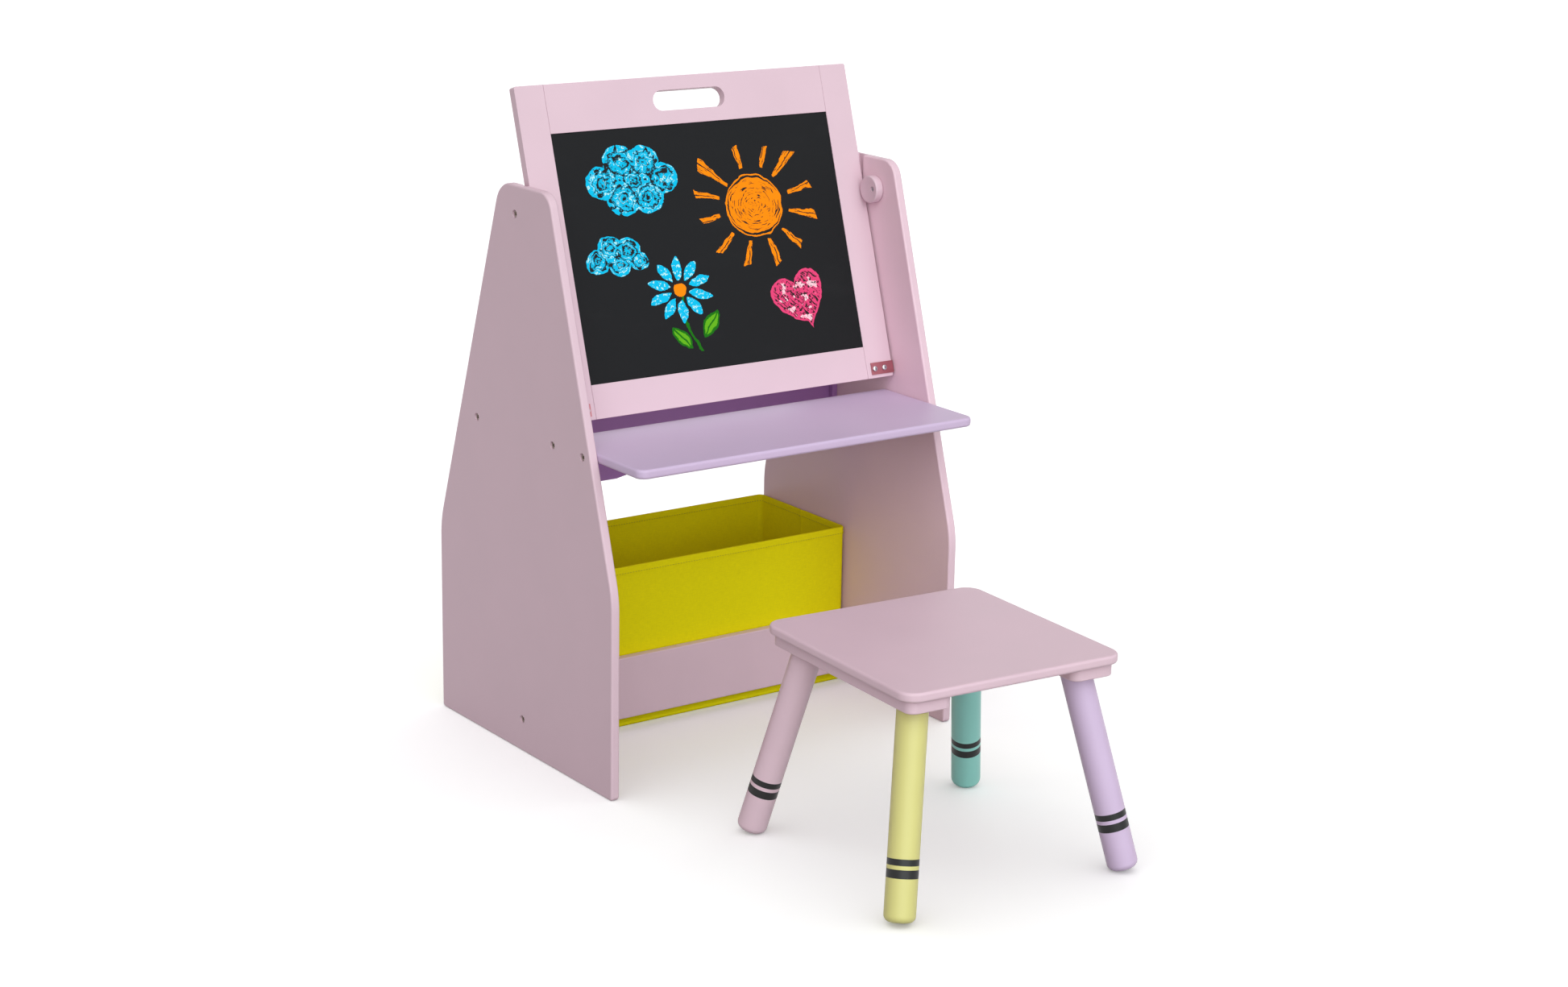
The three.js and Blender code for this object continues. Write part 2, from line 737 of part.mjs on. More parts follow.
const legTop = battenBottom - seatGap;
const trim = new THREE.BoxGeometry(easelWidth, easelWidth, seatTop);
trim.translate(0, 0, legTop + seatTop / 2);
for (const [name, colour] of Object.entries(legColours)) {
  const signX = name.endsWith('left') ? -1 : 1;
  const signY = name.startsWith('front') ? -1 : 1;
  const head = new THREE.Vector3(signX * battenX, signY * (battenLength / 2 - legEndInset), legTop);
  const rise = new THREE.Vector3(-signX * legSplayAcross, -signY * legSplayAlong, legTop).normalize();
  const tilt = Math.acos(rise.z);
  const footHeight = (legRadius - footRound) * Math.sin(tilt) + footRound * (1 - Math.cos(tilt));
  const length = (legTop - footHeight) / rise.z + legRadius;
  const leg = piece(stool, `stool_leg_${name}`, colour, legGeometry(length));
  leg.position.copy(head).addScaledVector(rise, -(legTop - footHeight) / rise.z);
  leg.quaternion.setFromUnitVectors(Y, rise);
  stool.updateWorldMatrix(true, true);
  cut(leg, [trim.clone().applyMatrix4(stool.matrixWorld)]);
}

// The origin lies on the floor under the middle of the whole set
easelSet.updateWorldMatrix(true, true);
const extent = new THREE.Box3().setFromObject(easelSet, true);
const middle = extent.getCenter(new THREE.Vector3());
easelSet.position.set(-middle.x, -middle.y, -extent.min.z);

export default easelSet;
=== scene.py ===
"""Kids easel with a leaning double-sided board, a tray, a fabric bin and a stool, in metres."""

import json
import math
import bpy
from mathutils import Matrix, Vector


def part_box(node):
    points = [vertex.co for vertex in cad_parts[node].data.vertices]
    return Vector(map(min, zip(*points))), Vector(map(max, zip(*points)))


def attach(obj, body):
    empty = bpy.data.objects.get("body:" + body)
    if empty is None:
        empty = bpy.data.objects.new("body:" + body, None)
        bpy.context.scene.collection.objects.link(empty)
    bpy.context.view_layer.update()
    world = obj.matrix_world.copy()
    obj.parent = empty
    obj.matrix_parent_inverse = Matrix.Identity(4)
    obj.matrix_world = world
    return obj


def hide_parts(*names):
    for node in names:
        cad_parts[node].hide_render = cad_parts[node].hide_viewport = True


bl_info = {
    "name": "Kids easel",
    "version": (1, 0, 0),
    "blender": (4, 5, 0),
    "location": "View3D > Sidebar > Easel",
    "description": "Builds the visible pieces of a play easel and its stool around the packed frame",
    "category": "Object",
}

import bpy
import numpy as np
from bpy.props import FloatProperty, FloatVectorProperty, IntProperty, PointerProperty
from mathutils import Matrix, Vector
from mathutils.geometry import tessellate_polygon
from mathutils.noise import noise

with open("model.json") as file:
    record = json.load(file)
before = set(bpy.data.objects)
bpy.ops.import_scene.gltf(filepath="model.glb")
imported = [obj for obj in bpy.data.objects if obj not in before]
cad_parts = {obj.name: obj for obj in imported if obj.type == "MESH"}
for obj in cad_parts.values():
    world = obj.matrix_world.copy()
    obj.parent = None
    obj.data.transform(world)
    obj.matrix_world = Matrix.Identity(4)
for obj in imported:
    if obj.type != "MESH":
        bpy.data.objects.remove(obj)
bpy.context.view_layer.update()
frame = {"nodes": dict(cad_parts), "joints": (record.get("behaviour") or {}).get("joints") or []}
JOINTS = {joint["name"]: joint for joint in frame["joints"]}
MM = 0.001


def linear(red, green, blue):
    """Linear colour of an 8-bit screen colour."""
    shares = (red / 255, green / 255, blue / 255)
    return tuple(c / 12.92 if c <= 0.04045 else ((c + 0.055) / 1.055) ** 2.4 for c in shares)


# Directions, turned frames and common sizes

SLOPE = Vector(JOINTS["board_lift"]["axis"])
LEAN = Matrix.Rotation(-math.atan2(SLOPE.y, SLOPE.z), 4, "X")
UPRIGHT = Matrix.Identity(4)
STANDING = Matrix(((1, 0, 0, 0), (0, 0, -1, 0), (0, 1, 0, 0), (0, 0, 0, 1)))
SIDEWAYS = Matrix(((0, 0, 1, 0), (1, 0, 0, 0), (0, 1, 0, 0), (0, 0, 0, 1)))
SIDES = {"left": -1, "right": 1}
BOLT_HEAD = 2.6 * MM
GAP = 0.3 * MM


def box_in(node, turn=UPRIGHT):
    """Lowest and highest corner of a CAD node in a frame of its own."""
    back = np.array(turn.inverted())
    places = np.array([v.co for v in frame["nodes"][node].data.vertices]) @ back[:3, :3].T + back[:3, 3]
    return Vector(places.min(0)), Vector(places.max(0))


def bolts_on(side):
    return [node for node in frame["nodes"] if node.startswith("bolt_") and node.endswith(side)]


def side_place(lo, hi, facing):
    """Place of a slab that stands in the y-z plane with its upper face to -X or to +X."""
    if facing < 0:
        return Matrix.Translation((hi.x, 0, 0)) @ Matrix.Scale(-1, 4, (1, 0, 0)) @ SIDEWAYS
    return Matrix.Translation((lo.x, 0, 0)) @ SIDEWAYS


# Outlines and meshes

def arc(centre, radius, start, end, steps):
    """Points along an arc, both ends included."""
    angles = [start + (end - start) * i / steps for i in range(steps + 1)]
    return [centre + radius * Vector((math.cos(a), math.sin(a))) for a in angles]


def outline(corners, steps=10):
    """Closed anticlockwise outline through (x, y, radius) corners, each rounded by its radius."""
    points = []
    for i, (x, y, radius) in enumerate(corners):
        here = Vector((x, y))
        if radius == 0:
            points.append(here)
            continue
        back = (Vector(corners[i - 1][:2]) - here).normalized()
        ahead = (Vector(corners[(i + 1) % len(corners)][:2]) - here).normalized()
        half = math.acos(back.dot(ahead)) / 2
        centre = here + (back + ahead).normalized() * radius / math.sin(half)
        first = here + back * radius / math.tan(half) - centre
        turn = math.pi - 2 * half
        if back.cross(ahead) > 0:
            turn = -turn
        start = math.atan2(first.y, first.x)
        points += arc(centre, radius, start, start + turn, steps)
    return points


def rectangle(lo, hi, radius, steps=10):
    """Outline of a rectangle with rounded corners."""
    corners = [(lo[0], lo[1]), (hi[0], lo[1]), (hi[0], hi[1]), (lo[0], hi[1])]
    return outline([(x, y, radius) for x, y in corners], steps)


def circle(centre, radius, sides):
    """Points of a circle, anticlockwise."""
    return arc(Vector(centre), radius, 0, 2 * math.pi * (sides - 1) / sides, sides - 1)


def inset(points, distance):
    """A closed outline moved to its left by a distance, with mitred corners."""
    moved = []
    for i, here in enumerate(points):
        before = (here - points[i - 1]).normalized()
        after = (points[(i + 1) % len(points)] - here).normalized()
        mitre = Vector((-before.y - after.y, before.x + after.x)) / (1 + before.dot(after))
        moved.append(here + mitre * distance)
    return moved


class Shell:
    """Collects points and faces of one closed mesh."""

    def __init__(self):
        self.points = []
        self.faces = []

    def ring(self, points):
        start = len(self.points)
        self.points += [tuple(p) for p in points]
        return list(range(start, len(self.points)))

    def band(self, low, high):
        count = len(low)
        for i in range(count):
            j = (i + 1) % count
            self.faces.append((low[i], low[j], high[j], high[i]))

    def cap(self, rings, up):
        """Flat face bounded by rings of the same plane, the first outside and the others holes."""
        if len(rings) == 1:
            self.faces.append(tuple(rings[0] if up else reversed(rings[0])))
            return
        flat = [[Vector(self.points[i][:2] + (0,)) for i in ring] for ring in rings]
        order = [i for ring in rings for i in ring]
        for triangle in tessellate_polygon(flat):
            a, b, c = (Vector(self.points[order[i]][:2]) for i in triangle)
            turned = triangle if ((b - a).cross(c - a) > 0) == up else tuple(reversed(triangle))
            self.faces.append(tuple(order[i] for i in turned))

    def mesh(self, name, place=UPRIGHT):
        made = bpy.data.meshes.new(name)
        made.from_pydata(self.points, [], self.faces)
        made.transform(place)
        if place.to_3x3().determinant() < 0:
            made.flip_normals()
        made.validate()
        return made


def slab(name, edge, thickness, rounding, place, holes=(), pockets=(), steps=4):
    """Board of an outline, from 0 to its thickness, with rounded edges, holes and round pockets."""
    shell = Shell()
    loops = [edge] + [list(reversed(hole)) for hole in holes]
    turns = [math.pi / 2 * i / steps for i in range(steps + 1)] if rounding else [math.pi / 2]
    low = [(rounding * (1 - math.sin(t)), rounding * (1 - math.cos(t))) for t in turns]
    levels = low + [(away, thickness - height) for away, height in reversed(low)]
    bottoms, tops = [], []
    for loop in loops:
        rings = [shell.ring([(*p, height) for p in inset(loop, away)]) for away, height in levels]
        for below, above in zip(rings, rings[1:]):
            shell.band(below, above)
        bottoms.append(rings[0])
        tops.append(rings[-1])
    for points, depth in pockets:
        rim = shell.ring([(*p, thickness) for p in reversed(points)])
        floor = shell.ring([(*p, thickness - depth) for p in reversed(points)])
        shell.band(floor, rim)
        shell.cap([list(reversed(floor))], True)
        tops.append(rim)
    shell.cap(bottoms, False)
    shell.cap(tops, True)
    return shell.mesh(name, place)


def turned(name, profile, sides, tool, place):
    """Round piece of (radius, height) points, upward about its own Z, with a tool cut out, then placed."""
    shell = Shell()
    rings = []
    for radius, height in profile:
        if radius == 0:
            rings.append(shell.ring([(0, 0, height)]) * sides)
        else:
            rings.append(shell.ring([(*p, height) for p in circle((0, 0), radius, sides)]))
    for low, high in zip(rings, rings[1:]):
        for i in range(sides):
            j = (i + 1) % sides
            corners = dict.fromkeys((low[i], low[j], high[j], high[i]))
            shell.faces.append(tuple(corners))
    mesh = carve(shell.mesh(name), [tool])
    mesh.transform(place)
    return mesh


def linked(name, data):
    """New object of a mesh, lamp or camera, linked to the scene."""
    made = bpy.data.objects.new(name, data)
    bpy.context.scene.collection.objects.link(made)
    return made


def carve(mesh, tools):
    """Cuts tool meshes out of a mesh and removes them."""
    worked = linked(mesh.name, mesh)
    spare = [worked]
    for tool in tools:
        cutter = linked(tool.name, tool)
        cut = worked.modifiers.new("cut", "BOOLEAN")
        cut.object, cut.operation, cut.solver = cutter, "DIFFERENCE", "EXACT"
        spare.append(cutter)
    bpy.context.view_layer.update()
    evaluated = worked.evaluated_get(bpy.context.evaluated_depsgraph_get())
    result = bpy.data.meshes.new_from_object(evaluated)
    result.name = mesh.name
    for obj in spare:
        bpy.data.objects.remove(obj)
    return result


def add_piece(name, mesh, material, body, nodes, sharp=32):
    """Links a finished mesh as a piece that rides on a body and stands for CAD nodes."""
    mesh.materials.clear()
    mesh.materials.append(material)
    mesh.shade_smooth()
    mesh.set_sharp_from_angle(angle=math.radians(sharp))
    piece = linked(name, mesh)
    normals = piece.modifiers.new("flat faces", "WEIGHTED_NORMAL")
    normals.keep_sharp = True
    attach(piece, body)
    if nodes:
        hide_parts(*nodes)
    return piece


def paint(node, material):
    """Gives a CAD node that keeps its shape a material of this scene."""
    mesh = frame["nodes"][node].data
    mesh.materials.clear()
    mesh.materials.append(material)


# Materials

def operation(kind, swapped=False):
    """Method of Link that adds a Math node for two values."""
    def apply(self, other):
        return self.math(kind, *((other, self) if swapped else (self, other)))
    return apply


class Link:
    """A socket's value. Sums and products of it add Math nodes."""

    __add__ = __radd__ = operation("ADD")
    __sub__, __rsub__ = operation("SUBTRACT"), operation("SUBTRACT", True)
    __mul__ = __rmul__ = operation("MULTIPLY")
    __truediv__, __rtruediv__ = operation("DIVIDE"), operation("DIVIDE", True)
    __pow__, __rpow__ = operation("POWER"), operation("POWER", True)
    __mod__, __rmod__ = operation("FLOORED_MODULO"), operation("FLOORED_MODULO", True)
    bigger, smaller = operation("MAXIMUM"), operation("MINIMUM")

    def __init__(self, graph, socket):
        self.graph = graph
        self.socket = socket

    def math(self, kind, *values):
        return self.graph.node("ShaderNodeMath", {"operation": kind}, dict(enumerate(values)))

    def __abs__(self):
        return self.math("ABSOLUTE", self)

    def sine(self):
        return self.math("SINE", self)

    def step(self, low, high):
        """0 below low and 1 above high, smooth between; the other way round where high is lower."""
        settings = {"interpolation_type": "SMOOTHSTEP"}
        ends = (low, high) if low < high else (high, low)
        share = self.graph.node("ShaderNodeMapRange", settings, {0: self, 1: ends[0], 2: ends[1]})
        return share if low < high else 1 - share


class Graph:
    """Node tree of one material, or of a world that is handed in."""

    def __init__(self, name, owner=None):
        self.owner = owner or bpy.data.materials.new(name)
        self.owner.use_nodes = True
        self.tree = self.owner.node_tree
        self.tree.nodes.clear()

    def node(self, kind, settings=None, inputs=None, output=0):
        """Adds a node: its settings first, then the values or links of its sockets."""
        made = self.tree.nodes.new(kind)
        for key, value in (settings or {}).items():
            setattr(made, key, value)
        for key, value in (inputs or {}).items():
            if isinstance(value, Link):
                self.tree.links.new(value.socket, made.inputs[key])
            else:
                made.inputs[key].default_value = value
        return Link(self, made.outputs[output]) if made.outputs else None

    def mix(self, share, first, second):
        """Colour between two colours."""
        colours = [c if isinstance(c, Link) else (*c, 1) for c in (first, second)]
        inputs = {0: share, 6: colours[0], 7: colours[1]}
        return self.node("ShaderNodeMix", {"data_type": "RGBA"}, inputs, 2)

    def place(self):
        """The object's own coordinates, in metres."""
        return self.node("ShaderNodeTexCoord", output="Object")

    def apart(self, vector):
        """The three numbers of a vector."""
        first = self.node("ShaderNodeSeparateXYZ", inputs={0: vector})
        return [Link(self, first.socket.node.outputs[i]) for i in range(3)]

    def vector(self, x=0.0, y=0.0, z=0.0):
        return self.node("ShaderNodeCombineXYZ", inputs={0: x, 1: y, 2: z})

    def grain(self, where, size, detail=3.0, roughness=0.5):
        """Noise between 0 and 1 with features of a size in metres."""
        inputs = {"Vector": where, "Scale": 1 / size, "Detail": detail, "Roughness": roughness}
        return self.node("ShaderNodeTexNoise", {"normalize": True}, inputs)

    def bump(self, height, distance, strength=1.0):
        inputs = {"Height": height, "Distance": distance, "Strength": strength}
        return self.node("ShaderNodeBump", None, inputs)

    def seen(self):
        """1 for rays from the camera and through or off glossy surfaces."""
        path = self.node("ShaderNodeLightPath").socket.node.outputs
        rays = [Link(self, path[f"Is {ray} Ray"]) for ray in ("Camera", "Glossy", "Transmission")]
        return rays[0].bigger(rays[1]).bigger(rays[2])

    def close(self, shader, kind="Material"):
        self.node(f"ShaderNodeOutput{kind}", None, {"Surface": shader})
        return self.owner

    def finish(self, **inputs):
        """Closes the tree with a principled shader and returns the material."""
        named = {key.replace("_", " "): value for key, value in inputs.items()}
        return self.close(self.node("ShaderNodeBsdfPrincipled", None, named))


def scaled(colour, share):
    return tuple(min(1, c * share) for c in colour)


MADE = {}


def once(maker):
    """Keeps each material that a maker has made, by its name."""
    def lookup(name, *values):
        if name not in MADE:
            MADE[name] = maker(name, *values)
        return MADE[name]
    return lookup


def satin(graph, colour, patch, gloss):
    """Shade, roughness and normal of satin lacquer: faint mottling and a fine orange-peel skin."""
    where = graph.place()
    cloud = graph.grain(where, patch, 2.0)
    shade = graph.mix(cloud, scaled(colour, 0.965), scaled(colour, 1.035))
    skin = graph.bump(graph.grain(where, 0.0022, 2.0), 0.00012, 0.35)
    return shade, gloss + 0.1 * cloud, skin


@once
def lacquer(name, colour):
    """Satin lacquer on board."""
    graph = Graph(name)
    shade, gloss, normal = satin(graph, colour, 0.09, 0.36)
    return graph.finish(Base_Color=shade, Roughness=gloss, Normal=normal, Specular_IOR_Level=0.35)


@once
def banded_lacquer(name, colour, rings, black):
    """Lacquered leg with painted rings, given as (low, high) heights along the leg."""
    graph = Graph(name)
    height = graph.apart(graph.node("ShaderNodeUVMap", {"uv_map": "along"}))[1]
    soft = 0.0002
    mask = 0.0
    for low, high in rings:
        mask = height.step(low - soft, low + soft) * height.step(high + soft, high - soft) + mask
    shade, gloss, normal = satin(graph, colour, 0.06, 0.34)
    shade = graph.mix(mask, shade, black)
    return graph.finish(Base_Color=shade, Roughness=gloss, Normal=normal, Specular_IOR_Level=0.4)


@once
def metal(name, colour, roughness):
    """Plated metal with fine wear and dull spots."""
    graph = Graph(name)
    where = graph.place()
    spots = graph.grain(where, 0.004, 4.0)
    fine = graph.grain(where, 0.0006, 3.0)
    shade = graph.mix(spots, scaled(colour, 0.86), scaled(colour, 1.08))
    gloss = roughness + 0.16 * spots
    normal = graph.bump(fine, 0.00002, 0.5)
    return graph.finish(Base_Color=shade, Metallic=1.0, Roughness=gloss, Normal=normal)


@once
def bin_cloth(name, colour, weave):
    """Stiff polyester cloth: plain weave from the mesh's own lengths, slubs and soft creases."""
    graph = Graph(name)
    across, along, _ = graph.apart(graph.node("ShaderNodeUVMap", {"uv_map": "cloth"}))
    turns = 2 * math.pi / weave
    long, thin = 0.12, 0.0011
    slub = graph.grain(graph.vector(across * long, along), thin, 3.0)
    slub_up = graph.grain(graph.vector(across, along * long), thin, 3.0)
    mottle = graph.grain(graph.vector(across, along), 0.03, 4.0)
    threads = (across * turns).sine() * (along * turns).sine() * 0.5 + 0.5
    tone = (threads * 0.3 + slub * 0.4 + slub_up * 0.3).step(0.2, 0.8)
    shade = graph.mix(tone, scaled(colour, 0.84), scaled(colour, 1.1))
    shade = graph.mix(mottle * 0.25, shade, scaled(colour, 0.9))
    normal = graph.bump(threads + slub + slub_up, 0.0002, 0.5)
    return graph.finish(Base_Color=shade, Roughness=0.82, Normal=normal, Specular_IOR_Level=0.15)


@once
def thread(name, colour):
    """Twisted sewing thread."""
    graph = Graph(name)
    fine = graph.grain(graph.place(), 0.0005, 2.0)
    shade = graph.mix(fine, scaled(colour, 0.75), scaled(colour, 1.05))
    return graph.finish(Base_Color=shade, Roughness=0.75, Normal=graph.bump(fine, 0.0001, 0.5))


@once
def dry_erase(name, colour):
    """Glossy white writing surface with faint wiping marks."""
    graph = Graph(name)
    x, y, z = graph.apart(graph.place())
    wipes = graph.grain(graph.vector(x * 0.3, y, z), 0.02, 4.0)
    shade = graph.mix(wipes, scaled(colour, 0.985), colour)
    normal = graph.bump(wipes, 0.00002, 0.3)
    return graph.finish(Base_Color=shade, Roughness=0.12 + 0.1 * wipes, Normal=normal)


class Chalk:
    """Draws chalk figures on a surface whose across and up are given in millimetres."""

    narrow = 0.87
    wobble = 7
    wobble_size = 16.0

    def __init__(self, graph, across, up, base):
        self.graph = graph
        self.shade = base
        self.cover = 0.0
        flat = graph.vector(across, up)
        self.teeth = (graph.grain(flat, 1.3, 2.0, 0.6) - 0.5) * 1.5
        self.blots = graph.grain(flat, 4.2, 2.0, 0.6)
        self.patches = graph.grain(flat, 11.0, 1.0)
        swung = graph.vector(up, across)
        shaken = [graph.grain(where, self.wobble_size, 2.0) for where in (flat, swung)]
        self.across = across * self.narrow + (shaken[0] - 0.5) * self.wobble
        self.up = up + (shaken[1] - 0.5) * self.wobble

    def local(self, centre, turn=0.0):
        """Across and up from a centre, turned."""
        x, y = self.across - centre[0], self.up - centre[1]
        c, s = math.cos(turn), math.sin(turn)
        return x * c + y * s, y * c - x * s

    def polar(self, centre):
        """Distance and direction from a centre."""
        x, y = self.local(centre)
        return (x * x + y * y) ** 0.5, y.math("ARCTAN2", y, x)

    def sector(self, angle, count):
        """Running number of an angle's place among sectors, and its angle from the sector's middle."""
        step = 2 * math.pi / count
        cell = angle * (1 / step) + count
        return cell, (cell % 1.0 - 0.5) * step

    def stroke(self, distance, width):
        """Mask of a stroke of a width about where the distance is zero."""
        return abs(distance).step(width * 0.75, width * 0.25)

    def streaks(self, along, side, length, width):
        """Noise drawn out along a stroke, 0 in the gaps that the chalk skips."""
        drawn_out = self.graph.vector(along * (1 / length), side * (1 / width))
        return self.graph.grain(drawn_out, 1.0, 2.0).step(0.36, 0.46)

    def draw(self, mask, press, colour):
        """Lays a colour through a mask, broken up by the surface's tooth; a press of 1 leaves no gaps."""
        laid = (mask * press + self.teeth).step(0.44, 0.56) * mask.step(0.01, 0.1)
        self.shade = self.graph.mix(laid, self.shade, colour)
        self.cover = laid.bigger(self.cover)

    def sun(self, centre, radius, outer, count, colour):
        """Filled disc with loose rings round it and rays that widen outward."""
        r, angle = self.polar(centre)
        arcs = self.streaks(angle * radius * 0.6, r, 13, 1.7)
        self.draw(r.step(radius + 0.6, radius - 0.6), arcs * 0.85 + 0.2, colour)
        for shift, turn in ((3.2, 0.4), (2.4, 2.6)):
            loose = r - radius - 1.6 + shift * (angle + turn).sine()
            self.draw(self.stroke(loose, 1.8), arcs * 0.3 + 0.75, colour)
        cell, off = self.sector(angle, count)
        number = cell.math("FLOOR", cell) % float(count)
        chance = self.graph.node("ShaderNodeTexWhiteNoise", {"noise_dimensions": "1D"}, {"W": number})
        side = (off + (chance - 0.5) * 0.16) * r
        inner, reach = radius + 9 + chance * 5, outer - chance * 14
        ends = (r - inner).step(-1, 1) * (r - reach + side * 0.5).step(1, -1)
        half = (r - inner) * (0.12 - chance * 0.07) + 2.2
        split = self.stroke(side - half * (chance - 0.3), 1.1) * (r - inner).step(8, 16)
        ray = (abs(side) - half).step(0.7, -0.7) * ends
        self.draw(ray * (1 - split), self.streaks(r, side, 12, 1.5) * 0.75 + 0.35, colour)

    def cloud(self, loops, colour, light):
        """Loops of (across, up, radius) scribbled round and round, each over its neighbours."""
        share = 9.0
        for x, y, radius in loops:
            share = (self.polar((x, y))[0] / radius).smaller(share)
        inside = share.step(1.03, 0.97)
        share = share + (self.blots - 0.5) * 0.5 + (self.patches - 0.5) * 0.9
        rings = (share * 16).sine() * 0.5 + 0.5
        body = rings * 0.6 + self.patches * 1.7 + share.step(0.8, 0.95) * 0.5 - 0.5
        self.draw(inside, body, colour)
        sparse = (share * 23 + 2).sine() * 0.5 + self.patches * 1.2 - 0.3
        self.draw(inside, sparse.step(0.5, 1.0) * 0.68, light)

    def flower(self, centre, size, count, colour, light, heart):
        """Pointed petals round a filled middle."""
        r, angle = self.polar(centre)
        side = self.sector(angle, count)[1] * r
        along = (r - size * 0.3) * (math.pi / (size * 0.74))
        half = along.bigger(0.0).smaller(math.pi).sine() ** 0.8 * (size * 0.15)
        petal = (abs(side) - half).step(0.9, -0.9) * half.step(0.2, 0.8)
        self.draw(petal, 0.98, colour)
        self.draw(petal, self.streaks(r, side, 16, 1.3) * self.blots.step(0.5, 0.64) * 0.8, light)
        self.draw(r.step(size * 0.24, size * 0.18), 0.95, heart)

    def heart(self, centre, size, turn, colour, light):
        """Outlined heart with slanted hatching."""
        x, y = self.local(centre, turn)
        dip = y * (1.18 / size) - abs(x * (1 / size)) ** 0.5 * 0.9
        edge = ((x * x * (1 / size ** 2) + dip * dip) ** 0.5 - 1) * size
        inside = edge.step(0.8, -0.8)
        along, side = y - x * 0.5, x + y * 0.5
        gaps = self.blots.step(0.36, 0.46)
        self.draw(inside, self.streaks(along, side, 24, 2.6) * gaps * 0.75, colour)
        shine = self.streaks(along + 90, side, 26, 1.6) * gaps
        self.draw(edge.step(-3, -6), shine * self.patches.step(0.5, 0.62) * 0.8, light)
        self.draw(self.stroke(edge, 3.4), 0.95, colour)

    def leaf(self, centre, size, turn, colour, dark):
        """Pointed leaf with a dark rim and rib."""
        x, y = self.local(centre, turn)
        rim = abs(y) + x * x * (0.42 / size) - size * 0.42
        self.draw(rim.step(0.8, -0.8), 0.95, dark)
        self.draw(rim.step(-1.8, -3.2) * abs(y).step(0.5, 1.3), 0.82, colour)

    def stem(self, start, end, bow, width, colour):
        """Stroke between two points, bowed to one side."""
        length = math.dist(start, end)
        x, y = self.local(start, math.atan2(end[1] - start[1], end[0] - start[0]))
        ends = x.step(-1, 1) * (x - length).step(1, -1)
        bent = y - (x * (math.pi / length)).sine() * bow
        self.draw(self.stroke(bent, width) * ends, 0.95, colour)


@once
def blackboard(name, colour, low, foot):
    """Matt blackboard lacquer with wiped chalk dust and plain chalk figures, from its lower left corner."""
    graph = Graph(name)
    x, _, z = graph.apart(graph.place())
    across = (x - low) * (1 / MM)
    up = (z - foot) * (1 / MM / SLOPE.z)
    wiped = graph.grain(graph.vector(across * 0.35, up), 60.0, 5.0, 0.6)
    base = graph.mix(wiped.step(0.5, 0.9) * 0.1, colour, linear(70, 70, 72))
    chalk = Chalk(graph, across, up, base)
    orange, green, lime = linear(255, 140, 10), linear(30, 112, 20), linear(100, 176, 30)
    cyan, white = linear(10, 190, 232), linear(196, 240, 236)
    pink, rose = linear(255, 206, 214), linear(232, 70, 120)
    chalk.cloud((
        (56, 250, 21), (82, 274, 22), (112, 272, 21), (134, 250, 20),
        (112, 228, 21), (80, 228, 22), (95, 251, 15),
    ), cyan, white)
    chalk.cloud(((34, 152, 15), (52, 168, 16), (74, 162, 17), (62, 145, 14), (88, 148, 12)), cyan, white)
    chalk.sun((252, 204), 36, 90, 12, orange)
    chalk.stem((152, 24), (136, 100), 7, 3.4, green)
    chalk.leaf((168, 58), 21, 0.95, lime, green)
    chalk.leaf((128, 44), 19, 2.2, lime, green)
    chalk.flower((134, 106), 42, 10, cyan, white, orange)
    chalk.heart((298, 64), 35, 0.3, rose, pink)
    normal = graph.bump(chalk.teeth + chalk.cover * 2, 0.00012, 0.6)
    gloss = 0.6 + chalk.cover * 0.3
    return graph.finish(Base_Color=chalk.shade, Roughness=gloss, Normal=normal, Specular_IOR_Level=0.12)


# Settings that a user would change

def length_field(name, description, default):
    return FloatProperty(name=name, description=description, default=default, unit="LENGTH")


def angle_field(name, description, default):
    return FloatProperty(name=name, description=description, default=default, subtype="ANGLE")


def number_field(name, description, default):
    return FloatProperty(name=name, description=description, default=default)


def tint_field(name, description, *default):
    return FloatVectorProperty(name=name, description=description, default=default, subtype="COLOR")


def colour_field(name, description, red, green, blue):
    """Colour that is given as an 8-bit screen colour."""
    return tint_field(name, description, *linear(red, green, blue))


class EaselSizes(bpy.types.PropertyGroup):
    """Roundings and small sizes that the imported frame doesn't give."""

    panel_round: length_field("Panel edge", "Rounding of the side panels", 0.0026)
    seat_round: length_field("Seat edge", "Rounding of the tray and the seat", 0.0036)
    board_round: length_field("Board edge", "Rounding of the board's frame", 0.0005)
    member_round: length_field("Member edge", "Rounding of the cross members", 0.0018)
    hem: length_field("Bin hem", "Height of the bin's folded hem", 0.011)
    weave: length_field("Weave", "Width of two threads of the bin's cloth", 0.0012)
    stitch: length_field("Stitch", "Distance from one stitch to the next", 0.0042)
    leg_sides: IntProperty(name="Leg sides", description="Faces round a stool leg", default=64)


class EaselColours(bpy.types.PropertyGroup):
    """Colours of the easel's finishes."""

    pink: colour_field("Pink", "Lacquer of panels, board and seat", 221, 190, 201)
    lilac: colour_field("Lilac", "Lacquer of the tray and one leg", 207, 183, 212)
    # Painted shade: the tray's lilac darkened to stand for the shade on the apron, whose own colour is the
    # tray's lilac
    deep_lilac: colour_field("Deep lilac", "Lacquer of the apron", 168, 118, 182)
    yellow: colour_field("Yellow", "Lacquer of one leg", 214, 206, 131)
    teal: colour_field("Teal", "Lacquer of one leg", 150, 215, 205)
    cloth: colour_field("Cloth", "Cloth of the bin", 241, 227, 4)
    black: colour_field("Black", "Blackboard lacquer and leg rings", 24, 24, 26)
    white: colour_field("White", "Dry-erase surface", 244, 244, 245)
    steel: colour_field("Steel", "Screws, studs and pins", 196, 197, 200)
    bolt: colour_field("Bolt", "Bolts in the side panels", 158, 149, 140)
    copper: colour_field("Copper", "Brackets", 178, 112, 120)


